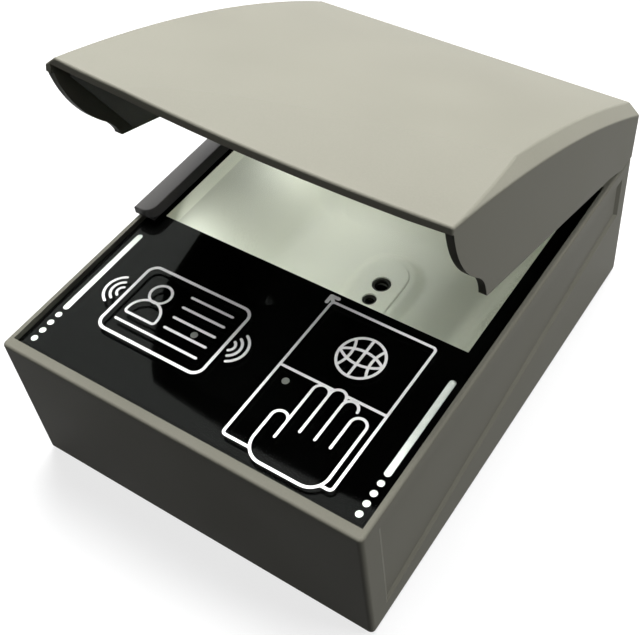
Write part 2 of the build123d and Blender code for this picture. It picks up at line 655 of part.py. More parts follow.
with BuildPart() as stop_rail:
    for rail_level, flare in ((RIM_Z + RAIL_LIFT, RAIL_FLARE), (RIM_Z + RAIL_HEIGHT, 0.0)):
        with BuildSketch(level(rail_level)) as rail_outline:
            with Locations((RAIL_LEFT_X, RAIL_FRONT_Y)):
                Rectangle(
                    RAIL_TOP_WIDTH + flare, RAIL_REAR_Y - RAIL_FRONT_Y, align=(Align.MIN, Align.MIN)
                )
            inner_front = rail_outline.vertices().group_by(Axis.Y)[0].sort_by(Axis.X)[-1]
            outer_front = rail_outline.vertices().group_by(Axis.Y)[0].sort_by(Axis.X)[0]
            fillet(inner_front, RAIL_CORNER_RADIUS)
            fillet(outer_front, BODY_CORNER_RADIUS)
    loft(ruled=True)
    fillet(stop_rail.faces().sort_by(Axis.Z)[-1].edges(), RAIL_EDGE_RADIUS)
save(stop_rail, "stop_rail")

with BuildPart() as rail_gasket:
    gasket_left = RAIL_LEFT_X + RAIL_GASKET_INSET
    gasket_right = RAIL_INNER_X + RAIL_FLARE - RAIL_GASKET_INSET
    gasket_front = RAIL_FRONT_Y + RAIL_GASKET_INSET
    with BuildSketch(level(RIM_Z)):
        with Locations((gasket_left, gasket_front)):
            Rectangle(
                gasket_right - gasket_left,
                RAIL_REAR_Y - RAIL_GASKET_INSET - gasket_front,
                align=(Align.MIN, Align.MIN),
            )
    extrude(amount=RAIL_LIFT)
    with BuildSketch(level(GLASS_TOP_Z)):
        with Locations((-GLASS_HALF_WIDTH + GLASS_GAP, gasket_front)):
            Rectangle(
                gasket_right + GLASS_HALF_WIDTH - GLASS_GAP,
                POCKET_REAR_Y - 2 * GLASS_GAP - gasket_front,
                align=(Align.MIN, Align.MIN),
            )
    extrude(amount=GLASS_INSET)
save(rail_gasket, "rail_gasket")

# White light chamber: a deep bowl on four legs, with a low mound round the cameras
CHAMBER_TOP_Z = CAVITY_TOP_Z - CHAMBER_TOP_GAP
COLLAR_Z = CHAMBER_TOP_Z - CHAMBER_COLLAR
FLOOR_Z = BASE_Z + FLOOR_HEIGHT
CHAMBER_HALF_WIDTH = CAVITY_HALF_WIDTH - CHAMBER_SIDE_GAP
CHAMBER_LENGTH = CHAMBER_REAR - CHAMBER_FRONT
FLOOR_MIDDLE_Y = FRONT_Y + (FLOOR_FRONT + FLOOR_REAR) / 2
FLOOR_LENGTH = FLOOR_REAR - FLOOR_FRONT
MOUND_TOP_Z = FLOOR_Z + MOUND_HEIGHT
BOSS_PLACE = (BOSS_CENTRE_X, BOSS_MIDDLE_Y)
MAIN_LENS_PLACE = (BOSS_CENTRE_X, FRONT_Y + MAIN_LENS_FROM_FRONT)
SECOND_LENS_PLACE = (BOSS_CENTRE_X, FRONT_Y + SECOND_LENS_FROM_FRONT)
LIGHT_BOARD_Z = CHAMBER_TOP_Z - LIGHT_BOARD_THICKNESS
LIGHT_BOARD_LENGTH = 2 * (CHAMBER_HALF_WIDTH - CHAMBER_WALL - BOARD_EDGE_GAP)
LIGHT_BOARD_OFFSET = CHAMBER_WALL + BOARD_EDGE_GAP + LIGHT_BOARD_WIDTH / 2
LIGHT_BOARD_YS = {
    "front": FRONT_Y + CHAMBER_FRONT + LIGHT_BOARD_OFFSET,
    "rear": FRONT_Y + CHAMBER_REAR - LIGHT_BOARD_OFFSET,
}
DIFFUSER_Z = LIGHT_BOARD_Z - LAMP_HEIGHT - DIFFUSER_GAP - DIFFUSER_THICKNESS
LUG_X = CHAMBER_HALF_WIDTH - CHAMBER_WALL - LUG_LENGTH / 2
LUG_PLACES = [(side * LUG_X, y) for side in (-1, 1) for y in LIGHT_BOARD_YS.values()]

with BuildPart() as light_chamber:
    for skin, mode in ((0.0, Mode.ADD), (CHAMBER_WALL, Mode.SUBTRACT)):
        with BuildSketch(level(FLOOR_Z - CHAMBER_WALL + skin)):
            with Locations((FLOOR_CENTRE_X, FLOOR_MIDDLE_Y)):
                RectangleRounded(FLOOR_WIDTH, FLOOR_LENGTH, FLOOR_CORNER_RADIUS - skin)
        with BuildSketch(level(COLLAR_Z)) as collar_outline:
            with Locations((0, CHAMBER_MIDDLE_Y)):
                RectangleRounded(
                    2 * (CHAMBER_HALF_WIDTH - skin),
                    CHAMBER_LENGTH - 2 * skin,
                    CHAMBER_CORNER_RADIUS - skin,
                )
        loft(ruled=True, mode=mode)
        extrude(collar_outline.sketch, amount=CHAMBER_COLLAR, mode=mode)
        if mode == Mode.ADD:
            with BuildSketch(level(PLATE_TOP_Z)):
                with Locations(LEG_PLACES):
                    Circle(LEG_RADIUS)
            extrude(amount=LEG_TOP - PLATE_TOP_Z)
    fillet(edges_at(light_chamber, FLOOR_Z), FLOOR_BLEND_RADIUS)
    with BuildSketch(level(COLLAR_Z)):
        with Locations(LUG_PLACES):
            Rectangle(LUG_LENGTH, LIGHT_BOARD_WIDTH)
    extrude(amount=DIFFUSER_Z - COLLAR_Z)
    with BuildSketch(level(FLOOR_Z)):
        with Locations(Location(BOSS_PLACE, 90)):
            SlotOverall(MOUND_LENGTH, MOUND_WIDTH)
    with BuildSketch(level(MOUND_TOP_Z)):
        with Locations(Location(BOSS_PLACE, 90)):
            SlotOverall(MOUND_TOP_LENGTH, MOUND_TOP_WIDTH)
    loft(ruled=True)
    fillet(edges_at(light_chamber, MOUND_TOP_Z), MOUND_CREST_RADIUS)
    mound_foot = [
        edge
        for edge in edges_at(light_chamber, FLOOR_Z)
        if abs(edge.center().X - BOSS_CENTRE_X) < MOUND_LENGTH / 2
    ]
    fillet(mound_foot, MOUND_FOOT_RADIUS)
    with BuildSketch(level(MOUND_TOP_Z)):
        with Locations(Location(BOSS_PLACE, 90)):
            SlotOverall(
                BOSS_COVER_LENGTH + 2 * BOSS_COVER_GAP, BOSS_COVER_WIDTH + 2 * BOSS_COVER_GAP
            )
    extrude(amount=-BOSS_COVER_SEAT, mode=Mode.SUBTRACT)
    with BuildSketch(level(MOUND_TOP_Z)):
        with Locations(MAIN_LENS_PLACE):
            Circle(MAIN_APERTURE_RADIUS)
        with Locations(SECOND_LENS_PLACE):
            Circle(SECOND_APERTURE_RADIUS)
    extrude(amount=-(MOUND_HEIGHT + CHAMBER_WALL), mode=Mode.SUBTRACT)
    with BuildSketch(level(PLATE_TOP_Z)):
        with Locations(LEG_PLACES):
            Circle(SCREW_RADIUS)
    extrude(amount=SCREW_LENGTH, mode=Mode.SUBTRACT)
save(light_chamber, "light_chamber")

# Boss cover and the two cameras under it
BOSS_SEAT_Z = MOUND_TOP_Z - BOSS_COVER_SEAT
BOSS_COVER_TOP_Z = BOSS_SEAT_Z + BOSS_COVER_THICKNESS
CAMERA_BOARD_TOP_Z = CAMERA_BOARD_Z + BOARD_THICKNESS

with BuildPart() as boss_cover:
    with BuildSketch(level(BOSS_SEAT_Z)):
        with Locations(Location(BOSS_PLACE, 90)):
            SlotOverall(BOSS_COVER_LENGTH, BOSS_COVER_WIDTH)
    extrude(amount=BOSS_COVER_THICKNESS)
    fillet(boss_cover.faces().sort_by(Axis.Z)[-1].edges(), BOSS_COVER_EDGE_RADIUS)
    with BuildSketch(level(BOSS_SEAT_Z)):
        with Locations(MAIN_LENS_PLACE):
            Circle(MAIN_APERTURE_RADIUS)
        with Locations(SECOND_LENS_PLACE):
            Circle(SECOND_APERTURE_RADIUS)
    extrude(amount=BOSS_COVER_THICKNESS, mode=Mode.SUBTRACT)
save(boss_cover, "boss_cover")

for camera, place, aperture in (
    ("main", MAIN_LENS_PLACE, MAIN_APERTURE_RADIUS),
    ("second", SECOND_LENS_PLACE, SECOND_APERTURE_RADIUS),
):
    barrel_radius = aperture - BARREL_GAP
    bore_radius = barrel_radius - BARREL_WALL
    barrel_top = BOSS_COVER_TOP_Z - BARREL_DROP
    lens_seat = barrel_top - LENS_SINK - LENS_EDGE - LENS_CROWN
    with BuildPart() as lens_barrel:
        with BuildSketch(level(CAMERA_BOARD_TOP_Z)):
            with Locations(place):
                Circle(barrel_radius)
                Circle(bore_radius, mode=Mode.SUBTRACT)
        extrude(amount=barrel_top - CAMERA_BOARD_TOP_Z)
    save(lens_barrel, f"{camera}_lens_barrel")
    with BuildPart() as lens:
        with BuildSketch(Plane(origin=(*place, lens_seat), x_dir=(1, 0, 0), z_dir=(0, -1, 0))):
            with BuildLine():
                ThreePointArc(
                    (0, LENS_EDGE + LENS_CROWN),
                    (bore_radius / 2, LENS_EDGE + LENS_HALFWAY_SHARE * LENS_CROWN),
                    (bore_radius, LENS_EDGE),
                )
                Polyline((bore_radius, LENS_EDGE), (bore_radius, 0), (0, 0), (0, LENS_EDGE + LENS_CROWN))
            make_face()
        revolve(axis=Axis((*place, 0), (0, 0, 1)))
    save(lens, f"{camera}_lens")

with BuildPart() as camera_board:
    with BuildSketch(level(CAMERA_BOARD_Z)):
        with Locations(BOSS_PLACE):
            RectangleRounded(CAMERA_BOARD_WIDTH, CAMERA_BOARD_LENGTH, BODY_CORNER_RADIUS)
        with Locations(CAMERA_POST_PLACES):
            Circle(SMALL_SCREW_RADIUS + SCREW_CLEARANCE, mode=Mode.SUBTRACT)
    extrude(amount=BOARD_THICKNESS)
save(camera_board, "camera_board")

with BuildPart() as image_sensors:
    with BuildSketch(level(CAMERA_BOARD_TOP_Z)):
        with Locations(MAIN_LENS_PLACE):
            Rectangle(MAIN_SENSOR_SIDE, MAIN_SENSOR_SIDE)
        with Locations(SECOND_LENS_PLACE):
            Rectangle(SECOND_SENSOR_SIDE, SECOND_SENSOR_SIDE)
    extrude(amount=CHIP_HEIGHT)
save(image_sensors, "image_sensors")

# Light boards under the glass, front and rear of the window, with lamps that shine down
LAMP_KINDS = ("white", "ultraviolet", "infrared")
LAMP_XS = [(i - (LAMP_COUNT - 1) / 2) * LAMP_PITCH for i in range(LAMP_COUNT)]

for row, row_y in LIGHT_BOARD_YS.items():
    with BuildPart() as light_board:
        with BuildSketch(level(LIGHT_BOARD_Z)):
            with Locations((0, row_y)):
                Rectangle(LIGHT_BOARD_LENGTH, LIGHT_BOARD_WIDTH)
        extrude(amount=LIGHT_BOARD_THICKNESS)
    save(light_board, f"light_board_{row}")
    with BuildPart() as diffuser:
        with BuildSketch(level(DIFFUSER_Z)):
            with Locations((0, row_y)):
                Rectangle(LIGHT_BOARD_LENGTH, LIGHT_BOARD_WIDTH)
        extrude(amount=DIFFUSER_THICKNESS)
        with BuildSketch(level(DIFFUSER_Z + DIFFUSER_THICKNESS)):
            with Locations((0, row_y)):
                Rectangle(LIGHT_BOARD_LENGTH, LIGHT_BOARD_WIDTH)
                Rectangle(
                    LIGHT_BOARD_LENGTH - 2 * DIFFUSER_THICKNESS,
                    LIGHT_BOARD_WIDTH - 2 * DIFFUSER_THICKNESS,
                    mode=Mode.SUBTRACT,
                )
        extrude(amount=LIGHT_BOARD_Z - DIFFUSER_Z - DIFFUSER_THICKNESS)
    save(diffuser, f"light_diffuser_{row}")

for kind_index, kind in enumerate(LAMP_KINDS):
    lamp_places = [
        (x, row_y)
        for row_y in LIGHT_BOARD_YS.values()
        for i, x in enumerate(LAMP_XS)
        if i % len(LAMP_KINDS) == kind_index
    ]
    with BuildPart() as lamps:
        with BuildSketch(level(LIGHT_BOARD_Z)):
            with Locations(lamp_places):
                Rectangle(LAMP_SIDE, LAMP_SIDE)
        extrude(amount=-LAMP_HEIGHT)
    save(lamps, f"{kind}_lamps")

# Contactless antenna board under the black glass, its posts, status lamps and light guides
ANTENNA_TOP_Z = ANTENNA_BOARD_Z + ANTENNA_BOARD_THICKNESS
STATUS_LAMP_YS = [
    FRONT_Y + STATUS_DOT_FRONT + STATUS_DOT_PITCH + i * STATUS_LAMP_PITCH
    for i in range(STATUS_LAMP_COUNT)
]
GUIDE_BASE_Z = ANTENNA_TOP_Z + STATUS_LAMP_HEIGHT + LIGHT_GUIDE_GAP
GUIDE_TOP_Z = MASK_UNDER_Z - LIGHT_GUIDE_GAP

with BuildPart() as antenna_board:
    with BuildSketch(level(ANTENNA_BOARD_Z)):
        with Locations((0, ANTENNA_MIDDLE_Y)):
            RectangleRounded(ANTENNA_BOARD_WIDTH, ANTENNA_LENGTH, BODY_CORNER_RADIUS)
        with Locations(ANTENNA_POST_PLACES):
            Circle(SMALL_SCREW_RADIUS + SCREW_CLEARANCE, mode=Mode.SUBTRACT)
    extrude(amount=ANTENNA_BOARD_THICKNESS)
save(antenna_board, "antenna_board")

with BuildPart() as antenna_posts:
    with BuildSketch(level(PLATE_TOP_Z)):
        with Locations(ANTENNA_POST_PLACES):
            RegularPolygon(ANTENNA_POST_RADIUS, 6)
    extrude(amount=ANTENNA_BOARD_Z - PLATE_TOP_Z)
    with BuildSketch(level(PLATE_TOP_Z)):
        with Locations(ANTENNA_POST_PLACES):
            Circle(SCREW_RADIUS)
    extrude(amount=SCREW_LENGTH, mode=Mode.SUBTRACT)
    with BuildSketch(level(ANTENNA_BOARD_Z)):
        with Locations(ANTENNA_POST_PLACES):
            Circle(SMALL_SCREW_RADIUS)
    extrude(amount=-SMALL_SCREW_GRIP, mode=Mode.SUBTRACT)
save(antenna_posts, "antenna_posts")

with BuildPart() as presence_sensors:
    with BuildSketch(level(ANTENNA_TOP_Z)):
        with Locations(SENSOR_PLACES):
            Circle(SENSOR_RADIUS - SCREW_CLEARANCE)
    extrude(amount=GLASS_UNDER_Z - ANTENNA_TOP_Z)
    with BuildSketch(level(ANTENNA_TOP_Z)):
        with Locations(SENSOR_PLACES):
            Rectangle(SENSOR_HOUSING_WIDTH, SENSOR_HOUSING_DEPTH)
    extrude(amount=SENSOR_HOUSING_HEIGHT)
save(presence_sensors, "presence_sensors")

for side, guide_x in STATUS_XS.items():
    with BuildPart() as light_guide:
        with BuildSketch(level(GUIDE_BASE_Z)):
            status_marks(guide_x)
        extrude(amount=GUIDE_TOP_Z - GUIDE_BASE_Z)
        with BuildSketch(level(GUIDE_BASE_Z)):
            with Locations((guide_x, FRONT_Y + STATUS_DOT_FRONT)):
                Rectangle(
                    STATUS_BAR_WIDTH,
                    STATUS_BAR_FRONT + STATUS_BAR_WIDTH - STATUS_DOT_FRONT,
                    align=(Align.CENTER, Align.MIN),
                )
        extrude(amount=STATUS_BAR_WIDTH)
    save(light_guide, f"status_light_guide_{side}")

with BuildPart() as status_lamps:
    with BuildSketch(level(ANTENNA_TOP_Z)):
        with Locations([(x, y) for x in STATUS_XS.values() for y in STATUS_LAMP_YS]):
            Rectangle(STATUS_LAMP_SIDE, STATUS_LAMP_SIDE)
    extrude(amount=STATUS_LAMP_HEIGHT)
save(status_lamps, "status_lamps")

# Main board with its processor, heat sink and memory
MAIN_BOARD_TOP_Z = MAIN_BOARD_Z + BOARD_THICKNESS
PROCESSOR_TOP_Z = MAIN_BOARD_TOP_Z + PROCESSOR_HEIGHT
MEMORY_PLACES = [
    (MEMORY_OFFSET_X, MAIN_BOARD_MIDDLE_Y + y * MEMORY_SPACING / 2) for y in (-1, 1)
]

with BuildPart() as main_board:
    with BuildSketch(level(MAIN_BOARD_Z)):
        with Locations((0, MAIN_BOARD_MIDDLE_Y)):
            RectangleRounded(MAIN_BOARD_WIDTH, MAIN_BOARD_LENGTH, BODY_CORNER_RADIUS)
        with Locations(MAIN_POST_PLACES):
            Circle(SMALL_SCREW_RADIUS + SCREW_CLEARANCE, mode=Mode.SUBTRACT)
        with Locations(ANTENNA_POST_PLACES):
            Circle(ANTENNA_POST_RADIUS + 2 * SCREW_CLEARANCE, mode=Mode.SUBTRACT)
    extrude(amount=BOARD_THICKNESS)
save(main_board, "main_board")

with BuildPart() as processor:
    with BuildSketch(level(MAIN_BOARD_TOP_Z)):
        with Locations((0, MAIN_BOARD_MIDDLE_Y)):
            Rectangle(PROCESSOR_SIDE, PROCESSOR_SIDE)
    extrude(amount=PROCESSOR_HEIGHT)
save(processor, "processor")

with BuildPart() as memory_chips:
    with BuildSketch(level(MAIN_BOARD_TOP_Z)):
        with Locations(MEMORY_PLACES):
            Rectangle(MEMORY_WIDTH, MEMORY_LENGTH)
    extrude(amount=CHIP_HEIGHT)
save(memory_chips, "memory_chips")

with BuildPart() as heat_sink:
    with BuildSketch(level(PROCESSOR_TOP_Z)):
        with Locations((0, MAIN_BOARD_MIDDLE_Y)):
            Rectangle(HEAT_SINK_SIDE, HEAT_SINK_SIDE)
    extrude(amount=HEAT_SINK_BASE)
    fin_pitch = (HEAT_SINK_SIDE - HEAT_SINK_FIN) / (HEAT_SINK_FIN_COUNT - 1)
    with BuildSketch(level(PROCESSOR_TOP_Z + HEAT_SINK_BASE)):
        with Locations((0, MAIN_BOARD_MIDDLE_Y)):
            with GridLocations(fin_pitch, 0, HEAT_SINK_FIN_COUNT, 1):
                Rectangle(HEAT_SINK_FIN, HEAT_SINK_SIDE)
    extrude(amount=HEAT_SINK_HEIGHT - HEAT_SINK_BASE)
save(heat_sink, "heat_sink")

# Port board at the rear, with the data port and the power inlet
PORT_FACE_Y = REAR_Y - PORT_FACE_INSET

with BuildPart() as port_board:
    with BuildSketch(level(PORT_BOARD_Z)):
        with Locations((0, PORT_BOARD_MIDDLE_Y)):
            Rectangle(PORT_BOARD_WIDTH, PORT_BOARD_DEPTH)
        with Locations(PORT_POST_PLACES):
            Circle(SMALL_SCREW_RADIUS + SCREW_CLEARANCE, mode=Mode.SUBTRACT)
    extrude(amount=BOARD_THICKNESS)
save(port_board, "port_board")

with BuildPart() as data_port:
    data_plane = Plane(
        origin=(DATA_PORT_X, PORT_FACE_Y, DATA_PORT_Z), x_dir=(1, 0, 0), z_dir=(0, -1, 0)
    )
    with BuildSketch(data_plane):
        SlotOverall(DATA_PORT_WIDTH, DATA_PORT_HEIGHT)
    extrude(amount=DATA_PORT_DEPTH)
    with BuildSketch(data_plane):
        SlotOverall(DATA_PORT_WIDTH - 2 * DATA_PORT_WALL, DATA_PORT_HEIGHT - 2 * DATA_PORT_WALL)
        Rectangle(DATA_PORT_TONGUE_WIDTH, DATA_PORT_TONGUE_THICKNESS, mode=Mode.SUBTRACT)
    extrude(amount=DATA_PORT_DEPTH - DATA_PORT_BACK, mode=Mode.SUBTRACT)
save(data_port, "data_port")

with BuildPart() as power_inlet:
    inlet_plane = Plane(
        origin=(POWER_INLET_X, PORT_FACE_Y, POWER_INLET_Z), x_dir=(1, 0, 0), z_dir=(0, -1, 0)
    )
    with BuildSketch(inlet_plane):
        Rectangle(POWER_INLET_WIDTH, POWER_INLET_HEIGHT)
    extrude(amount=POWER_INLET_DEPTH)
    with BuildSketch(inlet_plane):
        Circle(POWER_INLET_BORE_RADIUS)
        Circle(POWER_INLET_PIN_RADIUS, mode=Mode.SUBTRACT)
    extrude(amount=POWER_INLET_BORE_DEPTH, mode=Mode.SUBTRACT)
save(power_inlet, "power_inlet")

for screw_name, screw_places, board_top, board_thickness in (
    ("main_board_screws", MAIN_POST_PLACES, MAIN_BOARD_TOP_Z, BOARD_THICKNESS),
    ("camera_board_screws", CAMERA_POST_PLACES, CAMERA_BOARD_TOP_Z, BOARD_THICKNESS),
    ("port_board_screws", PORT_POST_PLACES, PORT_BOARD_TOP_Z, BOARD_THICKNESS),
    ("antenna_board_screws", ANTENNA_POST_PLACES, ANTENNA_TOP_Z, ANTENNA_BOARD_THICKNESS),
):
    with BuildPart() as board_screws:
        with BuildSketch(level(board_top)):
            with Locations(screw_places):
                Circle(SMALL_SCREW_HEAD_RADIUS)
        extrude(amount=SMALL_SCREW_HEAD_HEIGHT)
        with BuildSketch(level(board_top)):
            with Locations(screw_places):
                Circle(SMALL_SCREW_RADIUS)
        extrude(amount=-(board_thickness + SMALL_SCREW_GRIP - 2 * SCREW_CLEARANCE))
    save(board_screws, screw_name)

# Ribbon cables under the light chamber
RIBBON_Z = PLATE_TOP_Z + RIBBON_HEIGHT
RIBBON_FRONT_Y = MAIN_BOARD_MIDDLE_Y + MAIN_BOARD_LENGTH / 2 - RIBBON_OVERLAP

for ribbon_name, ribbon_x, ribbon_width, ribbon_rear, rear_z in (
    (
        "port_ribbon_cable",
        PORT_RIBBON_X,
        PORT_RIBBON_WIDTH,
        PORT_BOARD_MIDDLE_Y - PORT_BOARD_DEPTH / 2 + RIBBON_OVERLAP,
        PORT_BOARD_Z,
    ),
    (
        "camera_ribbon_cable",
        CAMERA_RIBBON_X,
        CAMERA_RIBBON_WIDTH,
        BOSS_MIDDLE_Y - CAMERA_BOARD_LENGTH / 2 + RIBBON_OVERLAP,
        CAMERA_BOARD_Z,
    ),
):
    with BuildPart() as ribbon:
        with BuildSketch(Plane.YZ.offset(ribbon_x)):
            with BuildLine():
                Polyline(
                    (RIBBON_FRONT_Y, MAIN_BOARD_Z),
                    (RIBBON_FRONT_Y, RIBBON_Z),
                    (ribbon_rear, RIBBON_Z),
                    (ribbon_rear, rear_z),
                    (ribbon_rear - RIBBON_THICKNESS, rear_z),
                    (ribbon_rear - RIBBON_THICKNESS, RIBBON_Z + RIBBON_THICKNESS),
                    (RIBBON_FRONT_Y + RIBBON_THICKNESS, RIBBON_Z + RIBBON_THICKNESS),
                    (RIBBON_FRONT_Y + RIBBON_THICKNESS, MAIN_BOARD_Z),
                    close=True,
                )
            make_face()
        extrude(amount=ribbon_width / 2, both=True)
    save(ribbon, ribbon_name)

# Hood shell: a roof arched from front to rear between two cheeks, with a rear wall
CHEEK_EDGE_HEIGHT = -CHEEK_DROP
LEFT_CHEEK_EDGE_HEIGHT = CHEEK_EDGE_HEIGHT + LEFT_CHEEK_RAISE
SEAT_END = hood_point(-SEAT_FRONT, SEAT_GAP - AXIS_HEIGHT)
LIP_REACH = LIP_SIDE_REACH + LIP_BOW
HOOD_HALF_WIDTH = BODY_WIDTH / 2
HOLLOW_HALF_WIDTH = HOOD_HALF_WIDTH - HOOD_WALL
ROOF_UNDER_RADIUS = ROOF_RADIUS - HOOD_WALL
WALL_INWARD = (sin(radians(REAR_WALL_ANGLE)), -cos(radians(REAR_WALL_ANGLE)))
PAD_FACE_Y = REAR_Y - HOOD_WALL - LEAF_PAD
LEAF_Z = AXIS_Z + ARM_HEIGHT - LEAF_HEIGHT / 2
ARM_INNER_X = HINGE_SPACING / 2 + FRICTION_WASHER_THICKNESS + 2 * SIDE_PLAY
LEAF_MIDDLE_X = ARM_INNER_X + LEAF_WIDTH / 2
LEAF_SCREW_PLACES = [
    (side * (LEAF_MIDDLE_X + x), LEAF_Z)
    for side in (-1, 1)
    for x in (ARM_THICKNESS / 2 - LEAF_SCREW_OFFSET, ARM_THICKNESS / 2 + LEAF_SCREW_OFFSET)
]
LINER_SCREW_PLACES = [
    (side * LINER_SCREW_SPACING / 2, reach)
    for side in (-1, 1)
    for reach in (LINER_SCREW_REAR, LINER_SCREW_FRONT)
]


def hollow_reach(height):
    """Reach of the hollow between a cheek's tip and its round front, at a height."""
    return HOLLOW_CENTRE_REACH - sqrt(HOLLOW_RADIUS**2 - (height - HOLLOW_CENTRE_HEIGHT) ** 2)


def cheek_outline(edge_height, dip):
    """Draw the side view of the hood, with a cheek whose lower edge is at a height."""
    tip_height = edge_height + TIP_RADIUS
    tip_reach = hollow_reach(tip_height)
    middle_height = (tip_height + STEP_HEIGHT) / 2
    step = (hollow_reach(STEP_HEIGHT), STEP_HEIGHT)
    lip_top = (LIP_REACH, roof_height(LIP_REACH, ROOF_RADIUS))
    roof_middle_reach = (LIP_REACH + REAR_WALL_HEAD[0]) / 2
    corner_reach = tip_reach - TIP_RADIUS * (1 - sin(radians(45)))
    corner_height = tip_height - TIP_RADIUS * cos(radians(45))
    Polyline([REAR_WALL_HEAD, REAR_WALL_FOOT, SEAT_END, dip, (tip_reach - TIP_RADIUS, edge_height)])
    ThreePointArc(
        (tip_reach - TIP_RADIUS, edge_height),
        (corner_reach, corner_height),
        (tip_reach, tip_height),
    )
    ThreePointArc((tip_reach, tip_height), (hollow_reach(middle_height), middle_height), step)
    ThreePointArc(
        step, (CHEEK_MIDDLE_REACH, CHEEK_MIDDLE_HEIGHT), (CHEEK_REACH, CHEEK_HEIGHT)
    )
    Polyline((CHEEK_REACH, CHEEK_HEIGHT), (LIP_REACH, CHEEK_HEIGHT), lip_top)
    ThreePointArc(
        lip_top, (roof_middle_reach, roof_height(roof_middle_reach, ROOF_RADIUS)), REAR_WALL_HEAD
    )


def facet_plane(depth):
    """Plane of the flat cut across the roof's front right corner, sunk by a depth."""
    corner = hood_place(FACET_CORNER_X, FACET_CORNER_REACH, FACET_CORNER_HEIGHT)
    normal = Vector(FACET_SIDE_FALL, 0, 0) + REACH_DIRECTION * FACET_FRONT_FALL + HEIGHT_DIRECTION
    return Plane(origin=corner, z_dir=normal).offset(-depth)


def roof_plane(x, reach, radius):
    """Plane square to an arc of the roof, facing up, at a reach from the hinge axis."""
    rise = (reach - ROOF_CREST_REACH) / radius
    normal = REACH_DIRECTION * rise + HEIGHT_DIRECTION * sqrt(1 - rise**2)
    return Plane(origin=hood_place(x, reach, roof_height(reach, radius)), z_dir=normal)


def edge_place(edge):
    """Distance from the middle, reach and height of an edge's centre on the open hood."""
    centre = edge.center(CenterOf.MASS)
    offset = centre - Vector(0, AXIS_Y, AXIS_Z)
    return abs(centre.X), offset.dot(REACH_DIRECTION), offset.dot(HEIGHT_DIRECTION)


with BuildPart() as hood_hollow:
    wall_foot = (
        REAR_WALL_FOOT[0] + HOOD_WALL * WALL_INWARD[0],
        REAR_WALL_FOOT[1] + HOOD_WALL * WALL_INWARD[1],
    )
    wall_head = wall_top(wall_foot, REAR_WALL_ANGLE, ROOF_UNDER_RADIUS)
    wall_tail = (
        wall_foot[0] + AXIS_INSET * WALL_INWARD[1],
        wall_foot[1] - AXIS_INSET * WALL_INWARD[0],
    )
    front_reach = LIP_REACH + HOOD_WALL
    front_height = roof_height(front_reach, ROOF_UNDER_RADIUS)
    with BuildSketch(HOOD_PLANE):
        with BuildLine():
            ThreePointArc(
                wall_head,
                (LIP_REACH / 2, roof_height(LIP_REACH / 2, ROOF_UNDER_RADIUS)),
                (front_reach, front_height),
            )
            Polyline((front_reach, front_height), (front_reach, wall_tail[1]), wall_tail, wall_head)
        make_face()
    extrude(amount=HOLLOW_HALF_WIDTH, both=True)
    split(bisect_by=facet_plane(HOOD_WALL), keep=Keep.BOTTOM)

